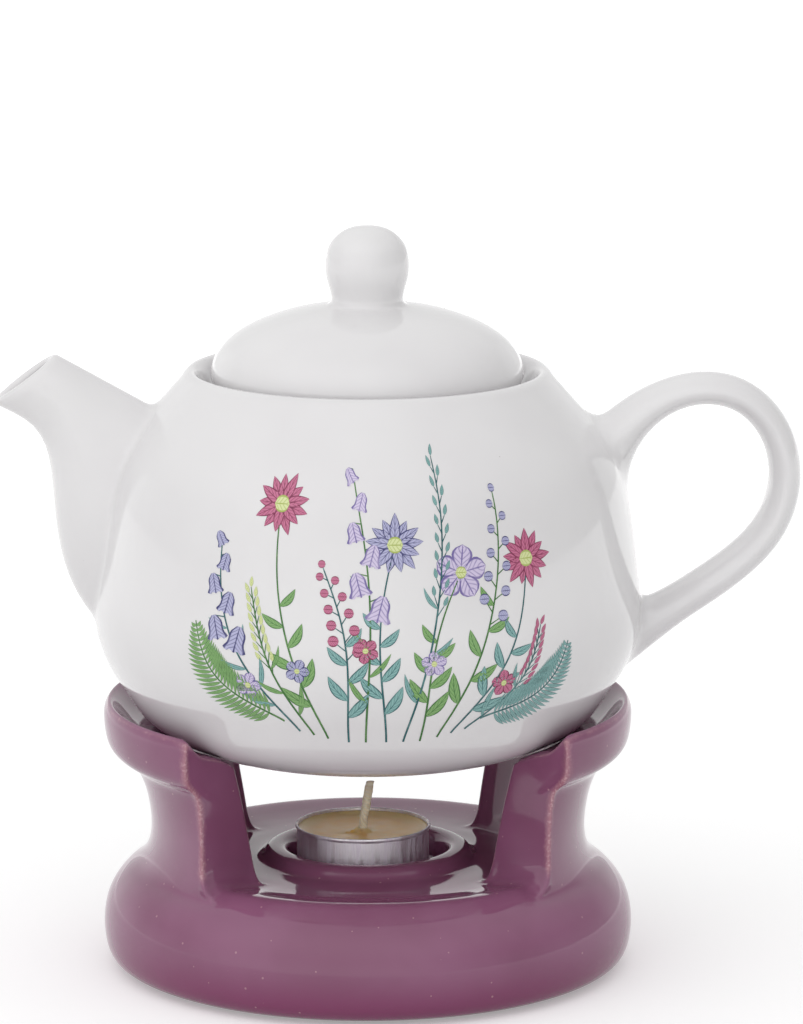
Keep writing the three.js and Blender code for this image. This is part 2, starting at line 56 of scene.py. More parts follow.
# The frame's own places, in metres
KNOB_LOW, KNOB_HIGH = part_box("lid_knob")
AXIS_X = (KNOB_LOW.x + KNOB_HIGH.x) / 2
POT_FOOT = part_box("teapot_body")[0].z
LID_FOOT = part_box("lid_cover")[0].z
CUP_LOW, CUP_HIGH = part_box("tealight_cup")
CUP_X = (CUP_LOW.x + CUP_HIGH.x) / 2

# The shapes below are drawn in millimetres round the upright axis
MM = 0.001
TAU = math.tau


# Curves


def smooth_curve(points, spacing):
    """Evenly spaced points of a curvature-smooth curve through the given ones."""
    p = np.array(points, float)
    t = np.concatenate([[0], np.cumsum(np.linalg.norm(np.diff(p, axis=0), axis=1))])
    h = np.diff(t)
    n = len(t)
    rows = np.eye(n)
    sides = np.zeros(p.shape)
    for i in range(1, n - 1):
        rows[i, i - 1 : i + 2] = h[i - 1], 2 * (h[i - 1] + h[i]), h[i]
        sides[i] = 6 * ((p[i + 1] - p[i]) / h[i] - (p[i] - p[i - 1]) / h[i - 1])
    bend = np.linalg.solve(rows, sides)
    s = np.linspace(0, t[-1], max(2, round(t[-1] / spacing)) + 1)
    k = np.clip(np.searchsorted(t, s, side="right") - 1, 0, n - 2)
    a = ((t[k + 1] - s) / h[k])[:, None]
    b = ((s - t[k]) / h[k])[:, None]
    lift = (a**3 - a) * bend[k] + (b**3 - b) * bend[k + 1]
    return (a * p[k] + b * p[k + 1] + lift * (h[k] ** 2)[:, None] / 6).tolist()


def filleted(points, steps=4):
    """A polyline of (radius, height, fillet) with each corner rounded by its fillet."""
    out = []
    for i, (r, z, fillet) in enumerate(points):
        here = Vector((r, z))
        if fillet <= 0 or i in (0, len(points) - 1):
            out.append([r, z])
            continue
        before = Vector(points[i - 1][:2])
        after = Vector(points[i + 1][:2])
        a = here + (before - here).normalized() * fillet
        b = here + (after - here).normalized() * fillet
        for k in range(steps + 1):
            t = k / steps
            p = a * (1 - t) ** 2 + here * 2 * t * (1 - t) + b * t**2
            out.append([p.x, p.y])
    return out


def moved(points, r, z=0.0):
    """Points of (radius, height, ...) with their radius and height shifted."""
    return [(a + r, b + z, *rest) for a, b, *rest in points]


def smoothstep(low, high, x):
    """Rises smoothly from 0 at low to 1 at high, where high may be the smaller."""
    t = min(1, max(0, (x - low) / (high - low)))
    return t * t * (3 - 2 * t)


# Mesh building


def lathe(bm, outline, sides):
    """Spins an outline of (radius, height) points all the way round the upright axis."""
    verts = [bm.verts.new((r, 0, z)) for r, z in outline]
    edges = [bm.edges.new(pair) for pair in zip(verts, verts[1:])]
    bmesh.ops.spin(
        bm,
        geom=verts + edges,
        cent=(0, 0, 0),
        axis=(0, 0, 1),
        dvec=(0, 0, 0),
        angle=TAU,
        steps=sides,
        use_merge=True,
    )
    bmesh.ops.remove_doubles(bm, verts=bm.verts, dist=1e-4)
    bmesh.ops.recalc_face_normals(bm, faces=bm.faces)


def extended(bm, ring, points):
    """Extrudes a closed ring of vertices and puts the new ring's vertices at the points."""
    edges = [bm.edges.get((a, b)) for a, b in zip(ring, ring[1:] + ring[:1])]
    made = bmesh.ops.extrude_edge_only(bm, edges=edges)
    fresh = {g for g in made["geom"] if isinstance(g, bmesh.types.BMVert)}
    out = []
    for old, point in zip(ring, points):
        new = next(e.other_vert(old) for e in old.link_edges if e.other_vert(old) in fresh)
        new.co = point
        out.append(new)
    return out


def border(start):
    """The vertices of an open border, in their order round it."""
    ring = [start]
    before, here = None, start
    while True:
        ahead = [
            e.other_vert(here)
            for e in here.link_edges
            if e.is_boundary and e.other_vert(here) is not before
        ]
        before, here = here, ahead[0]
        if here is start:
            return ring
        ring.append(here)


def matched(ring, flat_ring, flat_points):
    """Turns a ring so that its vertices lie as near as they can to the points."""
    count = len(ring)
    best = None
    a = np.array(flat_points)
    for way in (1, -1):
        order = list(range(count))[::way]
        for turn in range(count):
            pick = order[turn:] + order[:turn]
            b = np.array([flat_ring[k] for k in pick])
            cost = float(((a - b) ** 2).sum())
            if best is None or cost < best[0]:
                best = (cost, pick)
    return [ring[k] for k in best[1]]


def fit_surface(bm, soft, rounds=7):
    """Moves a cage so that its smooth surface passes through the points as they were drawn.
    At the soft vertices it stays inside by a share of what the smoothing takes off."""

    def surface(v):
        """Where Catmull-Clark smoothing puts a vertex in the end."""
        n = len(v.link_edges)
        near = {e.other_vert(v) for e in v.link_edges}
        total = v.co * n * n
        for u in near:
            total += u.co * 4
        for f in v.link_faces:
            total += next(u for u in f.verts if u is not v and u not in near).co
        return total / (n * (n + 5))

    def in_quads(v):
        return not v.is_boundary and all(len(f.verts) == 4 for f in v.link_faces)

    free = [v for v in bm.verts if in_quads(v)]
    goal = {v: v.co.lerp(surface(v), soft.get(v, 0.0)) for v in free}
    for _ in range(rounds):
        moves = [(v, goal[v] - surface(v)) for v in free]
        for v, move in moves:
            v.co += move


def finished(bm, name, place, materials, body, replaced=(), smooth=0):
    """Makes the drawn mesh a piece: in metres, at its place, dressed, riding on its body."""
    bmesh.ops.transform(
        bm, matrix=Matrix.Translation(place) @ Matrix.Scale(MM, 4), verts=bm.verts
    )
    for face in bm.faces:
        face.smooth = True
    mesh = bpy.data.meshes.new(name)
    bm.to_mesh(mesh)
    bm.free()
    piece = bpy.data.objects.new(name, mesh)
    bpy.context.scene.collection.objects.link(piece)
    for material in materials:
        mesh.materials.append(material)
    if smooth:
        subdivision = piece.modifiers.new("Smooth", "SUBSURF")
        subdivision.levels = subdivision.render_levels = smooth
    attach(piece, body)
    if replaced:
        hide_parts(*replaced)
    return piece


# Material building


def feed(tree, node, values):
    """Sets a node's inputs, or links those whose value is a socket."""
    for key, value in values.items():
        socket = node.inputs[key]
        if isinstance(value, bpy.types.NodeSocket):
            tree.links.new(value, socket)
        else:
            socket.default_value = value
    return node


def add(tree, kind, values=None, **settings):
    """Adds a node, sets its options and feeds its inputs."""
    node = tree.nodes.new(kind)
    for key, value in settings.items():
        setattr(node, key, value)
    return feed(tree, node, values or {})


def maths(tree, operation, a, b=0.0):
    return add(tree, "ShaderNodeMath", {0: a, 1: b}, operation=operation).outputs[0]


def plus(tree, a, b):
    return maths(tree, "ADD", a, b)


def times(tree, a, b):
    return maths(tree, "MULTIPLY", a, b)


def ramp(tree, value, low, high, to_low=0.0, to_high=1.0):
    values = {0: value, 1: low, 2: high, 3: to_low, 4: to_high}
    return add(tree, "ShaderNodeMapRange", values, interpolation_type="SMOOTHSTEP").outputs[0]


def blended(tree, factor, a, b):
    values = {0: factor, 6: a, 7: b}
    return add(tree, "ShaderNodeMix", values, data_type="RGBA", clamp_factor=True).outputs[2]


def noise(tree, vector, scale, detail=2.0, roughness=0.5):
    values = {"Vector": vector, "Scale": scale, "Detail": detail, "Roughness": roughness}
    return add(tree, "ShaderNodeTexNoise", values).outputs["Fac"]


def bump(tree, height, share, depth):
    values = {"Strength": share, "Distance": depth, "Height": height}
    return add(tree, "ShaderNodeBump", values).outputs[0]


def facing(tree, direction, way):
    """How far a direction agrees with the given one, from -1 to 1."""
    values = {0: direction, 1: Vector(way).normalized()}
    return add(tree, "ShaderNodeVectorMath", values, operation="DOT_PRODUCT").outputs["Value"]


def vector_length(tree, vector):
    return add(tree, "ShaderNodeVectorMath", {0: vector}, operation="LENGTH").outputs["Value"]


def rgba(tint):
    return (*tint, 1.0)


def group(name, inputs, outputs):
    """An empty node group with sockets of the given kinds, and its two end nodes."""
    tree = bpy.data.node_groups.new(name, "ShaderNodeTree")
    for way, sockets in (("INPUT", inputs), ("OUTPUT", outputs)):
        for label, kind in sockets.items():
            tree.interface.new_socket(
                name=label, in_out=way, socket_type="NodeSocket" + kind
            )
    return tree, tree.nodes.new("NodeGroupInput"), tree.nodes.new("NodeGroupOutput")


def placed(tree, grouped, values):
    return feed(tree, add(tree, "ShaderNodeGroup", node_tree=grouped), values).outputs


def new_material(name):
    """A material with its shader, and the place of each point on the piece."""
    material = bpy.data.materials.new(name)
    material.use_nodes = True
    tree = material.node_tree
    shader = next(n for n in tree.nodes if n.type == "BSDF_PRINCIPLED")
    where = tree.nodes.new("ShaderNodeTexCoord").outputs["Object"]
    return material, tree, shader, where


def glaze_depth_group():
    """Uneven fired glaze: slow changes of tone, faint waves, and sparse tiny specks."""
    name = "Glaze Depth"
    if name in bpy.data.node_groups:
        return bpy.data.node_groups[name]
    scales = {key: "Float" for key in ("Pool Scale", "Wave Scale", "Speck Scale", "Speck Share")}
    tree, start, end = group(
        name, {"Vector": "Vector", **scales}, {"Tone": "Float", "Wave": "Float", "Speck": "Float"}
    )
    given = start.outputs
    vector = given["Vector"]
    cells = add(
        tree,
        "ShaderNodeTexVoronoi",
        {"Vector": vector, "Scale": given["Speck Scale"], "Randomness": 1.0},
    ).outputs
    drawn = add(tree, "ShaderNodeSeparateColor", {0: cells["Color"]}).outputs
    chosen = maths(tree, "LESS_THAN", drawn[0], given["Speck Share"])
    size = ramp(tree, drawn[1], 0.0, 1.0, 0.06, 0.16)
    dot = ramp(tree, maths(tree, "SUBTRACT", size, cells["Distance"]), 0.0, 0.04)
    feed(
        tree,
        end,
        {
            "Tone": noise(tree, vector, given["Pool Scale"], 3.0, 0.55),
            "Wave": noise(tree, vector, given["Wave Scale"], 1.0, 0.4),
            "Speck": times(tree, dot, chosen),
        },
    )
    return tree


def glaze_depth(tree, where, pool, wave, speck, share):
    """The fired glaze's tone, waves and specks on one material."""
    scales = {"Pool Scale": pool, "Wave Scale": wave, "Speck Scale": speck, "Speck Share": share}
    return placed(tree, glaze_depth_group(), {"Vector": where, **scales})


def fired(tree, shader, body, bare, look, gloss):
    """Glaze over a body, but bare clay where it was wiped off."""
    feed(
        tree,
        shader,
        {
            "Base Color": blended(tree, bare, body, rgba(look.biscuit)),
            "Roughness": ramp(tree, bare, 0.0, 1.0, gloss, 0.8),
        },
    )


def stroke_group():
    """Printed ink on a motif's own map: a fill with a darker edge, a vein and fine hatching."""
    name = "Ink Stroke"
    if name in bpy.data.node_groups:
        return bpy.data.node_groups[name]
    tree, start, end = group(
        name,
        {"Map": "Vector", "Ink": "Color", "Wash": "Color", "Hatching": "Float"},
        {"Color": "Color"},
    )
    given = start.outputs
    along, across, _ = add(tree, "ShaderNodeSeparateXYZ", {0: given["Map"]}).outputs
    centred = maths(tree, "SUBTRACT", across, 0.5)
    off_middle = times(tree, maths(tree, "ABSOLUTE", centred), 2.0)
    edge = ramp(tree, off_middle, 0.72, 0.84)
    vein = ramp(tree, off_middle, 0.10, 0.04)
    slant = plus(tree, along, times(tree, off_middle, -0.35))
    wave = maths(tree, "SINE", times(tree, slant, given["Hatching"]))
    lines = times(tree, ramp(tree, wave, 0.35, 0.8), 0.55)
    darkest = maths(tree, "MAXIMUM", maths(tree, "MAXIMUM", edge, vein), lines)
    feed(tree, end, {"Color": blended(tree, darkest, given["Wash"], given["Ink"])})
    return tree


def plum_glaze(look):
    """Glossy plum glaze that thins to a rosy tan along the sharp edges."""
    material, tree, shader, where = new_material("plum_glaze")
    depth = glaze_depth(tree, where, 26.0, 45.0, 420.0, 0.2)
    tone = ramp(tree, depth["Tone"], 0.3, 0.7)
    body = blended(tree, tone, rgba(look.plum_deep), rgba(look.plum))
    height = add(tree, "ShaderNodeSeparateXYZ", {0: where}).outputs["Z"]
    # the lowest 17 mm of the base turn darker and redder towards the foot
    body = blended(tree, ramp(tree, height, 0.017, 0.002), body, rgba(look.plum_low))
    thin = add(
        tree, "ShaderNodeAttribute", attribute_type="GEOMETRY", attribute_name="glaze_thin"
    ).outputs["Fac"]
    fine = maths(tree, "SUBTRACT", noise(tree, where, 260.0, 3.0, 0.6), 0.5)
    ragged = plus(tree, thin, times(tree, fine, 0.6))
    flecks = ramp(tree, noise(tree, where, 1300.0, 2.0), 0.42, 0.8)
    thinned = blended(tree, flecks, rgba(look.plum_thin), rgba(look.plum_fleck))
    body = blended(tree, ramp(tree, ragged, 0.25, 1.05), body, thinned)
    body = blended(tree, times(tree, depth["Speck"], 0.4), body, rgba(look.plum_fleck))
    fired(tree, shader, body, ramp(tree, height, 0.0006, 0.0003), look, 0.06)
    feed(tree, shader, {"Normal": bump(tree, depth["Wave"], 0.25, 0.0006), "IOR": 1.47})
    return material


def white_glaze(name, look, foot):
    """Glossy white glaze over a white body, with a bare foot ring."""
    material, tree, shader, where = new_material(name)
    depth = glaze_depth(tree, where, 18.0, 38.0, 330.0, 0.008)
    tone = ramp(tree, depth["Tone"], 0.3, 0.7)
    body = blended(tree, tone, rgba(look.white_shade), rgba(look.white))
    body = blended(tree, times(tree, depth["Speck"], 0.5), body, rgba(look.speck))
    height = add(tree, "ShaderNodeSeparateXYZ", {0: where}).outputs["Z"]
    fired(tree, shader, body, ramp(tree, height, foot + 0.0005, foot + 0.0002), look, 0.09)
    feed(
        tree,
        shader,
        {
            "Normal": bump(tree, depth["Wave"], 0.2, 0.0005),
            "IOR": 1.5,
            "Coat Weight": 0.35,
            "Coat Roughness": 0.03,
        },
    )
    return material


def round_axis(tree, where, x):
    """Turn and distance of each point round an upright line at x, and its height."""
    centred = add(
        tree, "ShaderNodeMapping", {"Vector": where, "Location": (-x, 0, 0)}, vector_type="POINT"
    )
    parts = add(tree, "ShaderNodeSeparateXYZ", {0: centred.outputs[0]}).outputs
    turn = maths(tree, "ARCTAN2", parts[1], parts[0])
    flat = add(tree, "ShaderNodeCombineXYZ", {0: parts[0], 1: parts[1]}).outputs[0]
    return turn, vector_length(tree, flat), parts[2]


def foil(look):
    """Thin pressed aluminium, drawn upwards, so its fine marks run up the side."""
    material, tree, shader, where = new_material("foil")
    turn, _, height = round_axis(tree, where, CUP_X)
    streaks = add(
        tree,
        "ShaderNodeCombineXYZ",
        {0: times(tree, turn, 3.0), 1: times(tree, height, 20.0)},
    )
    fine = noise(tree, streaks.outputs[0], 3.0, 3.0, 0.6)
    marks = ramp(tree, fine, 0.3, 0.6)
    flutes = maths(tree, "SINE", times(tree, turn, 140.0))
    feed(
        tree,
        shader,
        {
            "Base Color": blended(tree, marks, rgba(look.foil_shade), rgba(look.foil)),
            "Roughness": ramp(tree, fine, 0.35, 0.65, 0.75, 0.48),
            "Normal": bump(tree, flutes, 0.06, 0.0002),
            "Metallic": 1.0,
        },
    )
    return material


def tinplate(look):
    """Bright tinned steel with short rolled grain."""
    material, tree, shader, where = new_material("tinplate")
    grain = add(tree, "ShaderNodeMapping", {"Vector": where, "Scale": (1.0, 12.0, 1.0)})
    fine = noise(tree, grain.outputs[0], 700.0, 3.0)
    feed(
        tree,
        shader,
        {
            "Base Color": blended(tree, fine, rgba(look.foil_shade), rgba(look.foil)),
            "Roughness": ramp(tree, fine, 0.3, 0.7, 0.28, 0.45),
            "Metallic": 1.0,
        },
    )
    return material


def wax(look):
    """Warm paraffin, paler at its rim and round the wick, with soft cloudy patches."""
    material, tree, shader, where = new_material("wax")
    _, away, _ = round_axis(tree, where, CUP_X)
    cloud = noise(tree, where, 260.0, 3.0, 0.6)
    wobble = times(tree, maths(tree, "SUBTRACT", cloud, 0.5), 0.004)
    reach = plus(tree, away, wobble)
    at_wick = ramp(tree, reach, 0.0045, 0.0015)
    at_rim = ramp(tree, reach, 0.0125, 0.0178)
    pale = maths(tree, "MAXIMUM", at_wick, times(tree, at_rim, 0.8))
    body = blended(tree, pale, rgba(look.wax), rgba(look.wax_pale))
    patches = ramp(tree, cloud, 0.55, 0.8, 0.0, 0.45)
    feed(
        tree,
        shader,
        {
            "Base Color": blended(tree, patches, body, rgba(look.wax_pale)),
            "Roughness": ramp(tree, cloud, 0.3, 0.7, 0.28, 0.42),
            "Normal": bump(tree, cloud, 0.3, 0.0004),
            "IOR": 1.44,
            "Subsurface Weight": 0.3,
            "Subsurface Radius": (1.0, 0.6, 0.25),
            "Subsurface Scale": 0.003,
        },
    )
    return material


def cotton(look):
    """Waxed cotton with fine slanting strands, painted darker in the grooves between them as
    shade.
    """
    material, tree, shader, where = new_material("cotton")
    turn, _, height = round_axis(tree, where, CUP_X)
    slant = plus(tree, times(tree, turn, 6.0), times(tree, height, 5200.0))
    strand = ramp(tree, maths(tree, "SINE", slant), -0.8, 0.6)
    fuzz = noise(tree, where, 1400.0, 3.0)
    relief = times(tree, strand, ramp(tree, fuzz, 0.2, 0.6, 0.6, 1.0))
    feed(
        tree,
        shader,
        {
            # the grooves between the strands are painted darker and yellower, as painted shade
            "Base Color": blended(tree, relief, rgba(look.cotton_groove_shade), rgba(look.cotton)),
            "Roughness": ramp(tree, fuzz, 0.3, 0.7, 0.5, 0.75),
            "Normal": bump(tree, relief, 0.6, 0.0003),
            "Subsurface Weight": 0.15,
            "Subsurface Radius": (1.0, 0.8, 0.5),
            "Subsurface Scale": 0.001,
        },
    )
    return material


def printed_ink(name, ink, wash, hatching):
    """One colour of the fired print, under the same gloss as the glaze."""
    material, tree, shader, where = new_material(name)
    flat = tree.nodes.new("ShaderNodeTexCoord").outputs["UV"]
    values = {"Map": flat, "Ink": rgba(ink), "Wash": rgba(wash), "Hatching": hatching}
    stroke = placed(tree, stroke_group(), values)["Color"]
    faded = ramp(tree, noise(tree, where, 220.0, 3.0, 0.6), 0.45, 0.75, 0.0, 0.4)
    tint = blended(tree, faded, stroke, rgba(wash))
    feed(tree, shader, {"Base Color": tint, "Roughness": 0.12, "IOR": 1.5})
    return material


# Sizes and looks


def length(name, description, value):
    return FloatProperty(
        name=name,
        description=description,
        default=value,
        min=0.0,
        max=1.0,
        unit="LENGTH",
        precision=4,
    )


def colour(name, description, value):
    return FloatVectorProperty(
        name=name,
        description=description,
        default=value,
        size=3,
        min=0.0,
        max=1.0,
        subtype="COLOR",
    )


def amount(name, description, value, high=2.0):
    return FloatProperty(name=name, description=description, default=value, min=0.0, max=high)


class WarmerSizes(bpy.types.PropertyGroup):
    """Sizes of the set."""

    base_radius: length("Base radius", "Widest radius of the stand's base", 0.07415)
    plateau_height: length("Plateau height", "Height of the base's top edge", 0.0314)
    arm_height: length("Arm height", "Height of the cradle arms' rims", 0.0759)
    collar_radius: length("Collar radius", "Radius of the collar's crest", 0.0254)
    belly_radius: length("Belly radius", "Widest radius of the teapot", 0.0761)
    spout_fillet: length("Spout fillet", "Rounding where the spout meets the body", 0.0024)
    handle_fillet: length("Handle fillet", "Rounding where the handle meets the body", 0.0046)
    lid_radius: length("Lid radius", "Widest radius of the lid", 0.0434)
    knob_radius: length("Knob radius", "Widest radius of the lid's knob", 0.01163)
    wick_radius: length("Wick radius", "Half the wick's width", 0.00122)
    print_lift: length("Print lift", "How far the print stands on the glaze", 0.00005)
    round_sides: IntProperty(
        name="Round sides",
        description="Sides of the teapot's and lid's round forms",
        default=120,
        min=48,
        max=240,
    )


class WarmerLooks(bpy.types.PropertyGroup):
    """Colours of the glazes, the print and the candle."""

    plum: colour("Plum", "Plum glaze where it is thinner", (0.265, 0.098, 0.185))
    plum_deep: colour("Deep plum", "Plum glaze where it pools", (0.222, 0.074, 0.145))
    # darker, redder plum that the base turns to towards its foot
    plum_low: colour("Low plum", "Plum glaze darker towards the foot", (0.20, 0.026, 0.105))
    plum_thin: colour("Thin plum", "Rosy tan where the glaze thins", (0.40, 0.18, 0.23))
    plum_fleck: colour("Plum fleck", "Pale flecks in the thin glaze", (0.60, 0.36, 0.39))
    white: colour("White", "White glaze", (0.79, 0.78, 0.785))
    white_shade: colour("White shade", "White glaze where it pools", (0.75, 0.735, 0.745))
    speck: colour("Speck", "Tiny dark specks in the white glaze", (0.30, 0.27, 0.27))
    biscuit: colour("Biscuit", "Bare fired clay of the foot rings", (0.62, 0.55, 0.47))
    foil: colour("Foil", "Aluminium of the candle's cup", (0.95, 0.94, 0.97))
    foil_shade: colour("Foil shade", "Marks drawn into the aluminium", (0.84, 0.80, 0.87))
    wax: colour("Wax", "Wax of the candle", (1.0, 0.63, 0.18))
    wax_pale: colour("Pale wax", "Wax round the wick and at the rim", (1.0, 0.81, 0.44))
    cotton: colour("Cotton", "Wick", (1.0, 0.95, 0.78))
    # painted shade in the grooves between the wick's strands
    cotton_groove_shade: colour("Cotton shade", "Between the wick's strands", (0.99, 0.90, 0.68))
    ink_plum: colour("Plum ink", "Plum of the print", (0.19, 0.010, 0.06))
    ink_indigo: colour("Indigo ink", "Indigo of the print", (0.030, 0.030, 0.15))
    ink_lilac: colour("Lilac ink", "Lilac of the print", (0.17, 0.13, 0.36))
    ink_leaf: colour("Leaf ink", "Leaf green of the print", (0.035, 0.15, 0.025))
    ink_teal: colour("Teal ink", "Teal of the print", (0.010, 0.10, 0.11))
    ink_lime: colour("Lime ink", "Pale yellow green of the print", (0.38, 0.46, 0.10))


class WarmerStage(bpy.types.PropertyGroup):
    """The floor and the light."""

    floor: colour("Floor", "Pale floor", (0.84, 0.84, 0.84))
    floor_glow: amount("Floor glow", "Light the floor adds for the camera near the set", 0.30, 1.0)
    room_light: amount("Room light", "Strength of the even light from all round", 0.72)
    sky_light: amount("Sky light", "How much the light grows overhead", 0.34)
    key_light: amount("Key light", "How much the light grows in front on the left", 0.68)
    right_shade: amount("Right shade", "How much the light falls off low on the right", 0.42, 1.0)
    horizon_light: amount("Horizon light", "How much the light grows at the horizon", 0.26)
    side_light: amount("Side lights", "Strength of two soft lights low behind the sides", 0.2)


# The stand

# Turns of the base's columns in a quarter of its round, and where an arm's columns end up
COLUMN_TURNS = (0, 7.4, 14.8, 22, 29, 35.6, 40.9, 43.7, 46.6, 51.2, 57.5, 65, 73.2, 81.6, 90)
ARM_TURNS = (0, 7.4, 14.7, 21.8, 28.4, 34.4, 39.4, 42.2, 43.6)

# Outline of the base (radius, height). The side's radius counts from the widest radius, the
# collar's from its crest, and every height above the side from the plateau's top edge.
BASE_UNDER = [
    (0, 3), (17, 3), (34, 3), (47.5, 3), (51, 2.9), (53, 2.1), (54.3, 0.5),
    (55.4, 0.1), (58.3, 0.03), (61.4, 0.08), (63.4, 0.27),
]
BASE_SIDE = [
    (-6.9, 0.75), (-3.4, 2.1), (-1.35, 4.4), (-0.35, 7.8), (0, 12), (-0.3, 15.8),
    (-1.15, 19.3), (-2.6, 22.4), (-4.6, 25.1), (-6.9, 27.3), (-9.2, 29.1),
]
SHOULDER = [(-11.4, -0.9)]
PLATEAU_EDGE = 58.9
ARM_FOOT = 42.6
PLATEAU = [
    (60.9, -0.15), (PLATEAU_EDGE, 0), (56.2, -0.35), (53.2, -0.85), (50.2, -1.25), (47.7, -1.5),
    (45.1, -1.65), (ARM_FOOT, -1.75), (39.2, -1.8), (35.4, -1.8), (32.4, -1.7),
]
COLLAR = [
    (4.9, -1.3), (3.8, -0.2), (3.0, 0.9), (1.8, 1.65), (0, 1.9), (-1.9, 1.5),
    (-3.0, -0.2), (-3.7, -2.8), (-4.2, -4.8), (-5.2, -5.6), (-7.4, -5.7),
]
RECESS = [(13, -5.7), (6.5, -5.7), (0, -5.7)]

# Sections of an arm (radius, height) from its foot up: inside, and outside at its middle and end
ARM_INNER = [
    (44.3, 31.0), (45.1, 34.6), (46.0, 38.6), (46.9, 42.6), (47.9, 46.6), (48.8, 50.4),
    (49.7, 53.9), (50.6, 57.2), (51.4, 60.1), (52.1, 62.4), (52.7, 64.2),
]
ARM_OUTER = [
    (62.4, 32.0), (61.0, 36.6), (60.8, 42.0), (61.5, 47.4), (62.7, 52.2), (64.6, 56.5),
    (67.0, 59.4), (70.2, 61.3), (72.5, 63.8), (73.5, 67.6), (73.75, 72.4),
]
ARM_OUTER_END = [
    (65.5, 32.0), (65.7, 36.6), (65.7, 42.0), (65.8, 47.4), (66.0, 52.2), (66.5, 56.3),
    (67.9, 59.3), (70.6, 61.3), (72.6, 63.8), (73.4, 67.6), (73.65, 72.4),
]

# The cradle across an arm, from the nose of the seat towards the rim
SEAT = [
    (53.4, 65.6), (54.2, 66.0), (55.8, 66.75), (58.0, 67.8),
    (60.5, 68.65), (63.2, 69.4), (66.2, 70.5), (69.2, 72.9),
]


def stand_outline(sizes):
    """(radius, height) from under the middle, round the base, and in to the candle's recess."""
    radius = sizes.base_radius / MM
    top = sizes.plateau_height / MM
    collar = sizes.collar_radius / MM
    outline = BASE_UNDER + moved(BASE_SIDE, radius) + moved(SHOULDER, radius, top)
    return outline + moved(PLATEAU, 0, top) + moved(COLLAR, collar, top) + moved(RECESS, 0, top)


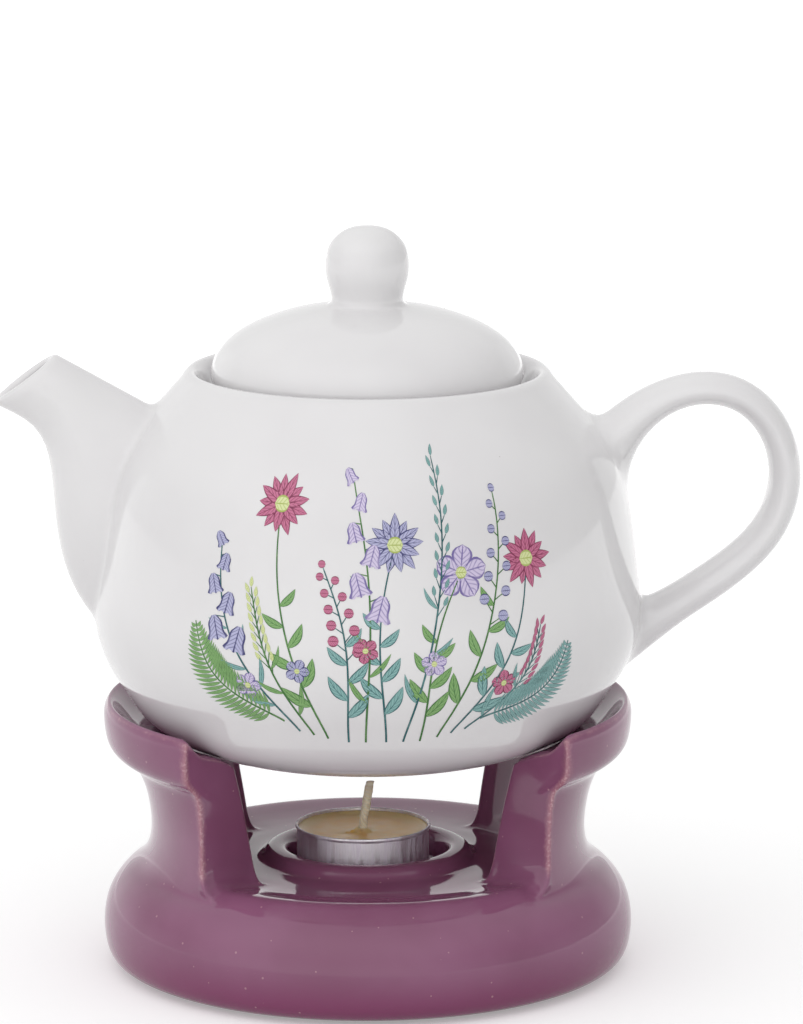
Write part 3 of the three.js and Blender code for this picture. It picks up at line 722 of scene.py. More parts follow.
def stand_mesh(sizes):
    """The base as a spun cage, with both arms drawn up out of its top."""
    bm = bmesh.new()
    quarter = list(COLUMN_TURNS)
    turns = quarter[:-1]
    turns += [180 - a for a in reversed(quarter)][:-1]
    turns += [180 + a for a in quarter][:-1]
    turns += [360 - a for a in reversed(quarter)][:-1]
    count = len(turns)
    half = len(quarter) - 1
    outline = stand_outline(sizes)
    lathe(bm, outline, count)
    column_of = bm.verts.layers.int.new("column")
    ring_of = bm.verts.layers.int.new("ring")
    level_of = bm.verts.layers.int.new("level")
    thin = bm.verts.layers.float.new("glaze_thin")
    points = np.array(outline)
    rim_height = sizes.arm_height / MM
    top = SEAT + [(71.7, rim_height - 0.5), (73.3, rim_height)]
    rings = len(top)
    inner = next(i for i, p in enumerate(outline) if p[0] == ARM_FOOT)
    outer = inner - rings + 1
    for v in bm.verts:
        reach = math.hypot(v.co.x, v.co.y)
        turn = math.atan2(v.co.y, v.co.x) % TAU
        v[column_of] = round(turn / TAU * count) % count
        v[ring_of] = int(np.argmin(np.hypot(points[:, 0] - reach, points[:, 1] - v.co.z)))
        a = math.radians(turns[v[column_of]])
        v.co = (reach * math.cos(a), reach * math.sin(a), v.co.z)

    def from_arm(v):
        """Columns between a vertex and the nearest arm's middle, with the sign of its side."""
        return (v[column_of] + half) % (2 * half) - half

    end = len(ARM_TURNS) - 1
    faces = [
        face
        for face in bm.faces
        if all(outer <= v[ring_of] <= inner and abs(from_arm(v)) <= end for v in face.verts)
    ]
    levels = len(ARM_INNER) + 1
    foot = [outline[inner - j] for j in range(rings)]
    left = [foot[0], *ARM_INNER, top[0]]
    middle = [foot[-1], *ARM_OUTER, top[-1]]
    at_end = [foot[-1], *ARM_OUTER_END, top[-1]]

    def section(j, level, side):
        """A place in the arm's section, blended from its foot, top and both walls."""
        u, w = j / (rings - 1), level / levels
        out = []
        for k in (0, 1):
            right = middle[level][k] + (at_end[level][k] - middle[level][k]) * side**2
            walls = (1 - u) * left[level][k] + u * right
            ends = (1 - w) * foot[j][k] + w * top[j][k]
            corners = (1 - w) * ((1 - u) * foot[0][k] + u * foot[-1][k])
            corners += w * ((1 - u) * top[0][k] + u * top[-1][k])
            out.append(walls + ends - corners)
        return out

    kept_turn, rim_reach, rim_level = 0.3, 0.042, 6
    corner_drop, edge_drop = (0.0, 0.25, 1.0), 0.5
    for level in range(1, levels + 1):
        made = bmesh.ops.extrude_face_region(bm, geom=faces)["geom"]
        bmesh.ops.delete(bm, geom=faces, context="FACES_KEEP_BOUNDARY")
        faces = [g for g in made if isinstance(g, bmesh.types.BMFace)]
        for v in (g for g in made if isinstance(g, bmesh.types.BMVert)):
            away, j = from_arm(v), inner - v[ring_of]
            turn = ARM_TURNS[abs(away)]
            if level == 1:
                turn += kept_turn * (COLUMN_TURNS[abs(away)] - turn)
            r, z = section(j, level, turn / ARM_TURNS[-1])
            # towards the rim both ends of an arm reach a little further round
            turn *= 1 + rim_reach * (j / (rings - 1)) ** 2 * smoothstep(rim_level, levels, level)
            arm = 0 if math.cos(math.radians(turns[v[column_of]])) > 0 else math.pi
            a = arm + math.radians(math.copysign(turn, away))
            if level == levels:
                z -= corner_drop[max(0, abs(away) - end + 2)]
                if v[ring_of] in (inner, outer):
                    z -= edge_drop
            v.co = (r * math.cos(a), r * math.sin(a), z)
            v[level_of] = level
    bmesh.ops.recalc_face_normals(bm, faces=bm.faces)

    # the edges of the arms are softer, and the glaze is thin on them and on the plateau's edge
    soft = {}
    for v in bm.verts:
        level, ring = v[level_of], inner - v[ring_of]
        last = abs(from_arm(v)) == end
        rim = ring in (0, rings - 1)
        if level == levels and (rim or last):
            soft[v] = 1.0
        elif level > 1 and last and rim:
            soft[v] = 0.9
        beside = abs(from_arm(v)) == end - 1 and ring == rings - 1
        if level > 1 and (beside or (last and ring == rings - 2)):
            v[thin] = 0.45
        if level > 1 and last and ring == rings - 1:
            v[thin] = 1.0
        elif level > 1 and last and (ring == 0 or level == levels):
            v[thin] = 0.6
        elif level == levels and rim:
            v[thin] = 0.5
        elif level == 0 and abs(math.hypot(v.co.x, v.co.y) - PLATEAU_EDGE) < 0.2:
            v[thin] = 0.4
    fit_surface(bm, soft)
    return bm


class BuildStand(bpy.types.Operator):
    """Builds the stand: the base with its candle collar and both cradle arms"""

    bl_idname = "warmer.stand"
    bl_label = "Stand"

    def execute(self, context):
        finished(
            stand_mesh(context.scene.warmer_sizes),
            "stand",
            (AXIS_X, 0, 0),
            [plum_glaze(context.scene.warmer_looks)],
            "stand",
            replaced=["warmer_stand"],
            smooth=2,
        )
        return {"FINISHED"}


# The candle

CUP_WALL = 0.5
CUP_SIDES = 168
WAX_SIDES = 120
WICK_SIDES = 18

# The cup (radius, height, fillet): its foot and inside count from the wall's outside, and its
# rolled bead from the widest radius and the top
CUP_FOOT = [(-3.4, 0.35, 0.5), (-2.6, 0, 0.4), (0, 0, 0.75)]
CUP_BEAD = [(-0.03, -0.75, 0.22), (-0.03, -0.02, 0.3), (-0.68, -0.02, 0.28)]

# The wax's surface (radius, height over its level), inside and at the cup's wall
WAX_POOL = [(0, 0.55), (1.2, 0.5), (2.6, 0.05), (5, -0.18), (9, -0.12), (13, -0.02), (15.6, 0.12)]
WAX_EDGE = [(-0.75, 0.55), (0, 1.05)]

# Crumbs on the wax beside the wick: x, y, width, height
CRUMBS = [
    (-1.9, -1.3, 0.75, 1.0), (-3.1, -1.9, 0.6, 0.6), (-0.9, -2.3, 0.55, 0.7),
    (1.6, -1.5, 0.7, 0.45), (-4.6, -2.4, 0.6, 0.3), (0.4, 1.9, 0.8, 0.4),
]


def cup_mesh(radius, height):
    """The pressed cup, with a little unevenness in its thin wall."""
    wall = radius - CUP_WALL
    cup = [(0, 0.35, 0), *moved(CUP_FOOT, wall), (wall, height - 1.15, 0.25)]
    cup += moved(CUP_BEAD, radius, height)
    cup += [(wall - 0.28, height - 0.62, 0.2), (wall - 0.28, 0.5, 0.5), (0, 0.55, 0)]
    bm = bmesh.new()
    lathe(bm, filleted(cup), CUP_SIDES)
    for v in bm.verts:
        turn = math.atan2(v.co.y, v.co.x)
        reach = math.hypot(v.co.x, v.co.y)
        if reach > wall - 0.5:
            free = smoothstep(0.3, 2.0, v.co.z) * smoothstep(height - 1.4, height - 3.5, v.co.z)
            flute = 0.008 * math.sin(turn * 28) + 0.035 * math.sin(turn * 5 + 1.3)
            swell = 1 + flute * free / reach
            v.co.x *= swell
            v.co.y *= swell
    return bm


def wax_mesh(radius, height):
    """The wax: drawn up at the cup's wall and the wick, with a few crumbs beside it."""
    level = height - 1.9
    fill = radius - CUP_WALL - 0.42
    surface = smooth_curve(moved(WAX_POOL, 0, level) + moved(WAX_EDGE, fill, level), 0.42)
    bm = bmesh.new()
    lathe(bm, [(0, 0.9), (fill - 0.5, 0.9), (fill, 1.4), *reversed(surface)], WAX_SIDES)
    for v in bm.verts:
        if v.co.z > height / 2:
            for x, y, wide, tall in CRUMBS:
                away = math.hypot(v.co.x - x, v.co.y - y) / wide
                v.co.z += tall * math.exp(-away * away * 1.2)
            v.co.z += 0.05 * math.sin(v.co.x * 0.7 + 1) * math.sin(v.co.y * 0.9)
    return bm


def wick_mesh(thick, height):
    """The wick: braided in three strands, flattened, and leaning a little to the right."""
    line = [(0, 0, -1.6), (0.35, 0, 2.2), (1.15, 0, 6.4), (1.55, 0.05, 9.4), (2.15, 0.05, 12.0)]
    line = smooth_curve([(0, 0, 8.6)] + [(x, y, height + z) for x, y, z in line], 0.3)
    last = len(line) - 1

    def section(k, shrink=1.0):
        x, y, z = line[k]
        ring = []
        for i in range(WICK_SIDES):
            a = i / WICK_SIDES * TAU
            swell = 1 + 0.05 * math.cos(3 * a - k * 0.42) + 0.02 * math.sin(k * 1.3)
            r = thick * swell * shrink * (1 - 0.12 * smoothstep(last - 7, last, k))
            ring.append((x + r * math.cos(a), y + 0.72 * r * math.sin(a), z))
        return ring

    bm = bmesh.new()
    first = [bm.verts.new(p) for p in section(0)]
    for a, b in zip(first, first[1:] + first[:1]):
        bm.edges.new((a, b))
    ring = first
    for k in range(1, last + 1):
        ring = extended(bm, ring, section(k))
    ring = extended(bm, ring, [(x, y, z + 0.12) for x, y, z in section(last, 0.6)])
    bmesh.ops.contextual_create(bm, geom=ring)
    bmesh.ops.contextual_create(bm, geom=first)
    bmesh.ops.recalc_face_normals(bm, faces=bm.faces)
    return bm


class BuildCandle(bpy.types.Operator):
    """Builds the tealight: its pressed cup, the wax and the braided wick"""

    bl_idname = "warmer.candle"
    bl_label = "Candle"

    def execute(self, context):
        looks, sizes = context.scene.warmer_looks, context.scene.warmer_sizes
        height = (CUP_HIGH.z - CUP_LOW.z) / MM
        radius = (CUP_HIGH.x - CUP_LOW.x) / 2 / MM
        wick = wick_mesh(sizes.wick_radius / MM, height)
        for name, slot, bm, dress in (
            ("cup", "foil", cup_mesh(radius, height), foil),
            ("wax", "wax", wax_mesh(radius, height), wax),
            ("wick", "cotton", wick, cotton),
        ):
            finished(
                bm,
                "candle_" + name,
                (CUP_X, 0, CUP_LOW.z),
                [dress(looks)],
                "tealight",
                replaced=["tealight_" + name],
            )
        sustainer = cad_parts["wick_sustainer"].data
        sustainer.materials.clear()
        sustainer.materials.append(tinplate(looks))
        return {"FINISHED"}


# The teapot

# Radius at which arcs along the teapot's round side are measured
ARC_RADIUS = 74.0

# Outline of the outside (radius, height over its foot), and of the rim from there inwards
DRAWN_BELLY = 76.1
POT_SIDE = [
    (45.1, 0.0), (48.2, 0.75), (51.8, 2.0), (55.4, 3.6), (59.4, 6.0), (63.7, 9.7),
    (68.0, 16.2), (71.4, 21.4), (73.9, 26.6), (75.5, 32.0), (DRAWN_BELLY, 38.0), (75.75, 45.0),
    (75.0, 52.0), (74.1, 60.0), (73.1, 67.0), (71.9, 73.0), (70.1, 78.8), (67.3, 84.2),
    (63.4, 89.6), (59.0, 94.8), (54.9, 99.5), (51.9, 102.9),
]
POT_RIM = [
    (51.9, 102.9), (51.0, 104.0), (50.0, 104.9), (48.9, 105.2), (47.8, 104.6),
    (46.6, 102.6), (45.5, 100.4), (44.3, 98.6), (42.6, 97.5), (40.6, 97.2),
]

# The ledge under the lid (radius, height, fillet), the inside below it, and the foot's recess
LEDGE = [(40.6, 97.2, 0), (38.0, 97.2, 1.1), (38.0, 94.6, 1.1), (52.5, 92.2, 3.0), (56.6, 89.6, 0)]
POT_INSIDE = [
    (56.6, 89.6), (62.2, 83.6), (66.4, 76.0), (68.6, 66.0), (70.4, 52.0), (71.5, 38.0),
    (69.6, 27.0), (64.5, 17.5), (56.5, 10.2), (46.0, 6.8), (30.0, 6.0),
]
POT_UNDER = [(0, 1.5, 0), (33.5, 1.5, 1.5), (36.6, 0, 1.2), (45.1, 0, 0)]

# The spout's side view (x, height): its straight top, its curved lower line and its mouth
SPOUT_ROOT, SPOUT_TIP = Vector((-55.7, 92.9)), Vector((-85.2, 109.5))
SPOUT_LOWER = smooth_curve(
    [
        (-66.5, 28.0), (-74.4, 34.2), (-80.9, 43.1), (-84.9, 54.0), (-86.7, 66.0),
        (-87.6, 76.5), (-89.1, 84.2), (-92.7, 90.2), (-97.6, 93.6), (-102.9, 96.3),
    ],
    0.8,
)
SPOUT_HALF_WIDE, MOUTH_HALF_WIDE = 20, 8.5
SPOUT_WALL = 3.4
MOUTH_NORMAL = Vector((-0.597, 0, 0.802))

# The handle's middle line in its side view (x, height), from its upper root to its lower one
HANDLE_LINE = smooth_curve(
    [
        (58.5, 74.4), (68.0, 84.6), (77.0, 93.0), (91.0, 98.7), (103.0, 97.0), (111.9, 89.3),
        (116.34, 75.5), (111.7, 58.9), (99.2, 46.6), (84.5, 36.9), (74.5, 30.7), (63.0, 23.4),
    ],
    0.5,
)

# Openings taken out of the side for the roots: half width, and lowest and highest line
SPOUT_OPENING = (25.5, 23.0, 100.5)
UPPER_OPENING = (19.5, 59.5, 97.5)
LOWER_OPENING_FOOT = 11.5

# Strainer behind the spout: one hole in the middle and six round it
STRAINER_X, STRAINER_Z = -71, 60
HOLE_CIRCLE, HOLE_RADIUS, HOLE_DEPTH = 8.6, 2.5, 17


class Outside:
    """The teapot's round outside, for what is joined to it or printed on it."""

    def __init__(self, sizes):
        swell = sizes.belly_radius / MM - DRAWN_BELLY
        drawn = [(r + swell * smoothstep(45, 76, r), z) for r, z in POT_SIDE]
        self.outline = smooth_curve(drawn, 2.9)
        self.r = np.array([p[0] for p in self.outline])
        self.z = np.array([p[1] for p in self.outline])

    def radius(self, z):
        return float(np.interp(z, self.z, self.r))

    def beyond(self, point):
        """How far a point lies outside."""
        return math.hypot(point.x, point.y) - self.radius(point.z)

    def flat(self, point, side):
        """Arc from the side (a turn in radians) round to the point, and its height."""
        turn = math.atan2(point[1], point[0]) - side
        turn = (turn + math.pi) % TAU - math.pi
        return (turn * ARC_RADIUS, point[2])

    def place(self, arc, z, side):
        """The place on the outside at an arc from the side, and a height."""
        turn = side + arc / ARC_RADIUS
        r = self.radius(z)
        return Vector((r * math.cos(turn), r * math.sin(turn), z))

    def normal(self, arc, z, side):
        turn = side + arc / ARC_RADIUS
        slope = self.radius(z + 0.5) - self.radius(z - 0.5)
        return Vector((math.cos(turn), math.sin(turn), -slope)).normalized()


def along_line(line, t):
    """The place at a share of a line of points, and the number of the point before it."""
    k = t * (len(line) - 1)
    i = min(int(k), len(line) - 2)
    return Vector(line[i]).lerp(Vector(line[i + 1]), k - i), i


def spout_skin(t, angle, inset=0.0):
    """A point on the spout: t from its root to its mouth, angle round its section."""
    low = along_line(SPOUT_LOWER, t)[0]
    top = SPOUT_ROOT.lerp(SPOUT_TIP, t)
    centre = (top + low) / 2
    half = (top - low).length / 2 - inset
    along = (top - low).normalized()
    wide = SPOUT_HALF_WIDE + (MOUTH_HALF_WIDE - SPOUT_HALF_WIDE) * t**0.8 - inset
    reach = math.cos(angle)
    pinch = 1 - 0.10 * smoothstep(0.2, 1.0, t) * max(0.0, -reach)
    up = reach * half
    side = math.sin(angle) * wide * pinch
    return Vector((centre.x + along.x * up, side, centre.y + along.y * up))


def handle_skin(t, angle):
    """A point on the handle: t from its upper root to its lower one, angle round its section."""
    centre, i = along_line(HANDLE_LINE, t)
    low, high = max(0, i - 3), min(len(HANDLE_LINE) - 1, i + 4)
    along = (Vector(HANDLE_LINE[high]) - Vector(HANDLE_LINE[low])).normalized()
    across = Vector((-along.y, along.x))
    upper = smoothstep(0.27, 0.0, t)
    lower = smoothstep(0.80, 1.0, t)
    half = 4.45 + 0.5 * smoothstep(0.5, 0.85, t) + 3.4 * upper**1.3 + 2.6 * lower
    wide = 9.0 + 3.0 * upper**1.3 + 1.8 * lower
    c, s = math.cos(angle), math.sin(angle)
    reach = math.copysign(abs(c) ** 1.16, c) * half
    side = math.copysign(abs(s) ** 0.92, s) * wide
    return Vector((centre.x + across.x * reach, side, centre.y + across.y * reach))


def leaving(skin, outside, angle, inside, away):
    """Where a line along a branch leaves the teapot's outside, between two of its places."""
    for _ in range(40):
        t = (inside + away) / 2
        if outside.beyond(skin(t, angle)) < 0:
            inside = t
        else:
            away = t
    return (inside + away) / 2


def opened(bm, grid, columns, rows):
    """Takes a rectangle of faces out of the teapot's side and returns its border."""
    gone = set()
    for i in range(*rows):
        for j in range(*columns):
            a, b = grid[i][j % len(grid[i])], grid[i + 1][(j + 1) % len(grid[i])]
            gone |= set(a.link_faces) & set(b.link_faces)
    bmesh.ops.delete(bm, geom=list(gone), context="FACES")
    return border(grid[rows[0]][columns[0] % len(grid[0])])


def root_rings(outside, skin, angles, inside, away, fillets, side):
    """Rings of a rounded joint, from the teapot's side on to a branch, and where it starts."""
    starts = [leaving(skin, outside, angle, inside, away) for angle in angles]
    joints = [skin(t, angle) for t, angle in zip(starts, angles)]
    flat = [outside.flat(p, side) for p in joints]
    middle = (sum(p[0] for p in flat) / len(flat), sum(p[1] for p in flat) / len(flat))
    on_side, on_branch, ends = [], [], []
    for angle, t, joint, (arc, z), fillet in zip(angles, starts, joints, flat, fillets):
        out = Vector((arc - middle[0], z - middle[1])).normalized()
        on_side.append(outside.place(arc + out.x * fillet, z + out.y * fillet, side))
        while (skin(t, angle) - joint).length < fillet:
            t += math.copysign(0.002, away - inside)
        on_branch.append(skin(t, angle))
        ends.append(t)
    rings = []
    for k in range(6):
        u = k / 5
        rings.append(
            [
                a * (1 - u) ** 2 + joint * 2 * u * (1 - u) + b * u**2
                for a, joint, b in zip(on_side, joints, on_branch)
            ]
        )
    return rings, ends


def eased(outside, ring, first, side, share):
    """A ring between the border of an opening and a joint's first ring, on the teapot's side."""
    out = []
    for v, p in zip(ring, first):
        a, b = outside.flat(v.co, side), outside.flat(p, side)
        out.append(
            outside.place(a[0] + (b[0] - a[0]) * share, a[1] + (b[1] - a[1]) * share, side)
        )
    return out


def lined_up(outside, ring, first, side):
    """An opening's border, turned to lie as near as it can to a joint's first ring."""
    flat = [outside.flat(v.co, side) for v in ring]
    return matched(ring, flat, [outside.flat(p, side) for p in first])


def spout_on(bm, outside, ring, sizes):
    """Draws the spout out of an opening's border, over its lip and down its throat."""
    count, side = len(ring), math.pi
    angles = [k / count * TAU for k in range(count)]
    fillets = [sizes.spout_fillet / MM] * count
    joint, starts = root_rings(outside, spout_skin, angles, 0.0, 0.9, fillets, side)
    ring = lined_up(outside, ring, joint[0], side)
    for share in (0.35, 0.54):
        ring = extended(bm, ring, eased(outside, ring, joint[0], side, share))
    for points in joint:
        ring = extended(bm, ring, points)
    steps = 22
    for k in range(1, steps + 1):
        w = k / steps
        points = [spout_skin(t + (1 - t) * w, a) for t, a in zip(starts, angles)]
        ring = extended(bm, ring, points)
    for share, lift in ((0.1, 0.5), (0.3, 0.95), (0.55, 1.05), (0.8, 0.65), (1.0, 0.0)):
        up = MOUTH_NORMAL * lift
        ring = extended(bm, ring, [spout_skin(1, a, SPOUT_WALL * share) + up for a in angles])
    for t in (0.96, 0.9, 0.82, 0.72, 0.6, 0.5, 0.42, 0.36, 0.31):
        wall = SPOUT_WALL + 0.6 * (1 - t)
        ring = extended(bm, ring, [spout_skin(t, a, wall) for a in angles])
    bmesh.ops.contextual_create(bm, geom=ring)


def handle_on(bm, outside, upper, lower, sizes):
    """Draws the handle from its upper opening's border to its lower one's."""
    count, side = len(upper), 0.0
    angles = [k / count * TAU for k in range(count)]
    fillet = sizes.handle_fillet / MM
    # the upper root is rounder underneath, where the hand is
    under = [fillet * (1 + 1.3 * max(0.0, -math.cos(a)) ** 1.5) for a in angles]
    top_joint, starts = root_rings(outside, handle_skin, angles, 0.0, 0.3, under, side)
    low_joint, ends = root_rings(outside, handle_skin, angles, 1.0, 0.7, [fillet] * count, side)
    upper = lined_up(outside, upper, top_joint[0], side)
    lower = lined_up(outside, lower, low_joint[0], side)
    ring = extended(bm, upper, eased(outside, upper, top_joint[0], side, 0.5))
    for points in top_joint:
        ring = extended(bm, ring, points)
    steps = 64
    for k in range(1, steps + 1):
        w = k / steps
        points = [handle_skin(t + (e - t) * w, a) for t, e, a in zip(starts, ends, angles)]
        ring = extended(bm, ring, points)
    for points in reversed(low_joint[:-1]):
        ring = extended(bm, ring, points)
    ring = extended(bm, ring, eased(outside, lower, low_joint[0], side, 0.5))
    extended(bm, ring, [v.co.copy() for v in lower])


def teapot_mesh(sizes):
    """The teapot as one skin: body, spout and handle, joined by rounded roots."""
    outside = Outside(sizes)
    outer = outside.outline
    outline = filleted(POT_UNDER)[:-1] + outer + smooth_curve(POT_RIM, 1.0)[1:]
    outline += filleted(LEDGE)[1:] + smooth_curve(POT_INSIDE, 4.5)[1:] + [(15, 6), (0, 6)]
    sides = sizes.round_sides
    bm = bmesh.new()
    lathe(bm, outline, sides)
    grid = [[None] * sides for _ in outer]
    for v in bm.verts:
        reach = math.hypot(v.co.x, v.co.y)
        i = int(np.argmin(np.hypot(outside.z - v.co.z, outside.r - reach)))
        if abs(outside.z[i] - v.co.z) < 1e-3 and abs(outside.r[i] - reach) < 1e-3:
            j = round((math.atan2(v.co.y, v.co.x) % TAU) / TAU * sides) % sides
            grid[i][j] = v

    def row(z):
        return int(np.argmin(abs(outside.z - z)))

    def columns(half):
        return round(half / (ARC_RADIUS * TAU / sides))

    half, low, high = SPOUT_OPENING
    half = columns(half)
    ring = opened(bm, grid, (sides // 2 - half, sides // 2 + half), (row(low), row(high)))
    spout_on(bm, outside, ring, sizes)

    half, low, high = UPPER_OPENING
    half = columns(half)
    tall = row(high) - row(low)
    foot = row(LOWER_OPENING_FOOT)
    upper = opened(bm, grid, (-half, half), (row(low), row(high)))
    lower = opened(bm, grid, (-half, half), (foot, foot + tall))
    handle_on(bm, outside, upper, lower, sizes)
    bmesh.ops.remove_doubles(bm, verts=bm.verts, dist=1e-4)
    bmesh.ops.recalc_face_normals(bm, faces=bm.faces)
    return bm


def cut_strainer(piece):
    """Cuts seven pouring holes through the wall behind the spout."""
    bm = bmesh.new()
    round_it = np.arange(6) * TAU / 6
    places = [(0, 0)] + [(HOLE_CIRCLE * math.sin(a), HOLE_CIRCLE * math.cos(a)) for a in round_it]
    for y, z in places:
        turn = Matrix.Rotation(math.pi / 2, 4, "Y")
        bmesh.ops.create_cone(
            bm,
            cap_ends=True,
            segments=28,
            radius1=HOLE_RADIUS,
            radius2=HOLE_RADIUS,
            depth=HOLE_DEPTH,
            matrix=Matrix.Translation((STRAINER_X, y, STRAINER_Z + z)) @ turn,
        )
    bmesh.ops.transform(
        bm,
        matrix=Matrix.Translation((AXIS_X, 0, POT_FOOT)) @ Matrix.Scale(MM, 4),
        verts=bm.verts,
    )
    mesh = bpy.data.meshes.new("strainer")
    bm.to_mesh(mesh)
    bm.free()
    cutter = bpy.data.objects.new("strainer", mesh)
    bpy.context.scene.collection.objects.link(cutter)
    cut = piece.modifiers.new("Strainer", "BOOLEAN")
    cut.operation = "DIFFERENCE"
    cut.solver = "EXACT"
    cut.object = cutter
    depsgraph = bpy.context.evaluated_depsgraph_get()
    result = bpy.data.meshes.new_from_object(piece.evaluated_get(depsgraph))
    piece.modifiers.remove(cut)
    piece.data = result
    bpy.data.objects.remove(cutter)


class BuildTeapot(bpy.types.Operator):
    """Builds the teapot: its body with spout, handle, gallery and strainer"""

    bl_idname = "warmer.teapot"
    bl_label = "Teapot"

    def execute(self, context):
        piece = finished(
            teapot_mesh(context.scene.warmer_sizes),
            "teapot",
            (AXIS_X, 0, POT_FOOT),
            [white_glaze("white_glaze", context.scene.warmer_looks, POT_FOOT)],
            "teapot",
            replaced=["teapot_body", "teapot_spout", "teapot_handle"],
        )
        cut_strainer(piece)
        return {"FINISHED"}


# The lid

# Height of the lid's seat over its foot, and the flange's and hollow's wall there
SEAT_HEIGHT = 15.8

# Outlines (radius, height). The hollow's and the neck's heights count from the seat, the
# dome's radius from the widest, and the ball's from the knob's.
LID_HOLLOW = [(0, 15.6), (11, 14.8), (21.5, 11.4), (28.4, 5.0), (30.8, -4.0), (31.0, -9.0)]
LID_FLANGE = [
    (30.9, 1.1), (31.2, 0.4), (31.9, 0.05), (32.9, 0.25), (34.1, 1.5), (35.1, 3.6),
    (35.7, 6.0), (36.0, 8.6), (36.1, SEAT_HEIGHT - 4.9),
]
LID_DOME = [
    (-4.6, -4.5), (-2.9, -3.7), (-1.4, -2.0), (-0.45, 0.2), (-0.05, 2.4), (-0.55, 5.0),
    (-1.95, 7.8), (-4.4, 10.8), (-8.7, 14.0), (-15.3, 17.1), (-22.8, 19.4), (-29.6, 20.6),
]
NECK_FOOT = (11.6, 20.9)
NECK = [NECK_FOOT, (10.6, 21.3), (10.05, 22.2), (10.05, 23.8), (10.6, 26.2), (11.3, 28.8)]
KNOB_SIDE = [(0, 31.4), (-0.15, 34.2)]
KNOB_TOP = [(10.6, 37.4), (8.4, 40.3), (5.2, 42.3), (2.4, 42.95), (0, 43.1)]

# The locking lug: its place round the flange, its reach, and where it ends above and inside
LUG_TURN = math.radians(234)
LUG_REACH = 37.7
LUG_TOP = 10.2
LUG_INSIDE = 31.2


def lid_mesh(sizes):
    """The lid as one skin: hollow, flange, dome and knob, with the lug drawn out of the flange."""
    widest = sizes.lid_radius / MM
    knob = sizes.knob_radius / MM
    seat = SEAT_HEIGHT
    hollow = smooth_curve([*moved(LID_HOLLOW, 0, seat), LID_FLANGE[0]], 2.0)
    flange = smooth_curve(LID_FLANGE, 0.55)
    dome = smooth_curve(moved(LID_DOME, widest, seat) + moved([NECK_FOOT], 0, seat), 1.0)
    neck = moved(NECK, 0, seat) + moved(KNOB_SIDE, knob, seat) + moved(KNOB_TOP, 0, seat)
    joint = [(36.1, seat - 4.9, 0), (36.3, seat - 4.55, 0.3), (widest - 4.6, seat - 4.5, 0)]
    outline = hollow + flange[1:] + filleted(joint)[1:] + dome[1:] + smooth_curve(neck, 0.6)[1:]
    bm = bmesh.new()
    lathe(bm, outline, sizes.round_sides + 72)
    for v in bm.verts:
        reach = math.hypot(v.co.x, v.co.y)
        up = v.co.z
        half_wide = 7.4 - 0.64 * up
        if reach < LUG_INSIDE or up > LUG_TOP:
            continue
        turn = (math.atan2(v.co.y, v.co.x) - LUG_TURN + math.pi) % TAU - math.pi
        across = abs(turn) * 36 / half_wide
        if across >= 1:
            continue
        face = (1 - across**3.4) ** 0.75 * smoothstep(10.4, 5.0, up)
        out = LUG_REACH - 0.6 * smoothstep(0.8, 0.0, up)
        grow = max(0.0, out - reach) * face * smoothstep(LUG_INSIDE, LUG_INSIDE + 1.4, reach)
        v.co.x *= (reach + grow) / reach
        v.co.y *= (reach + grow) / reach
    return bm


class BuildLid(bpy.types.Operator):
    """Builds the lid: its dome, knob, flange and locking lug"""

    bl_idname = "warmer.lid"
    bl_label = "Lid"

    def execute(self, context):
        finished(
            lid_mesh(context.scene.warmer_sizes),
            "lid",
            (AXIS_X, 0, LID_FOOT),
            [white_glaze("white_glaze_lid", context.scene.warmer_looks, -1.0)],
            "lid",
            replaced=["lid_cover", "lid_knob"],
        )
        return {"FINISHED"}


# The print

# The teapot's front, as a turn round its axis
FRONT = -math.pi / 2

# Inks in the order of the print's materials: name, pale wash inside a motif, hatching lines
PLUM, INDIGO, LILAC, LEAF, TEAL, LIME = range(6)
INKS = [
    ("ink_plum", (0.58, 0.16, 0.29), 34.0),
    ("ink_indigo", (0.46, 0.46, 0.68), 34.0),
    ("ink_lilac", (0.66, 0.58, 0.78), 30.0),
    ("ink_leaf", (0.22, 0.42, 0.14), 36.0),
    ("ink_teal", (0.24, 0.46, 0.44), 36.0),
    ("ink_lime", (0.70, 0.76, 0.38), 26.0),
]

# Each stalk: foot, top, sideways bow, kind, ink of its head, ink of its leaves
STALKS = [
    ((-27, 21), (-52, 47), 5, "fern", LEAF, LEAF),
    ((-23, 18), (-45, 71), 6, "bells", INDIGO, TEAL),
    ((-19, 17), (-35, 56), 2, "grass", LIME, LEAF),
    ((-15, 16), (-28, 80), 4, "daisy", PLUM, LEAF),
    ((-9, 15), (-15, 63), -3, "berries", PLUM, TEAL),
    ((-4, 15), (-8, 89), -3, "bells", LILAC, LEAF),
    ((2, 15), (4, 70), 3, "daisy", INDIGO, TEAL),
    ((7, 15), (17, 90), -3, "grass", TEAL, TEAL),
    ((12, 15), (22, 62), 3, "bloom", LILAC, LEAF),
    ((17, 16), (34, 81), -4, "berries", INDIGO, LEAF),
    ((21, 17), (42, 64), -4, "daisy", PLUM, TEAL),
    ((25, 18), (45, 44), -3, "grass", PLUM, TEAL),
    ((29, 21), (55, 40), -5, "fern", TEAL, TEAL),
]

# Small blossoms between the stalks: place, size, ink
BLOSSOMS = [
    (-36, 31, 3.8, LILAC),
    (34, 31, 3.8, PLUM),
    (-4, 42, 3.6, PLUM),
    (-22, 36, 3.4, INDIGO),
    (14, 38, 3.6, LILAC),
]

# Leaves on a stalk, by its kind, and 6 on any other
LEAF_COUNTS = {"bells": 5, "berries": 5, "grass": 3}

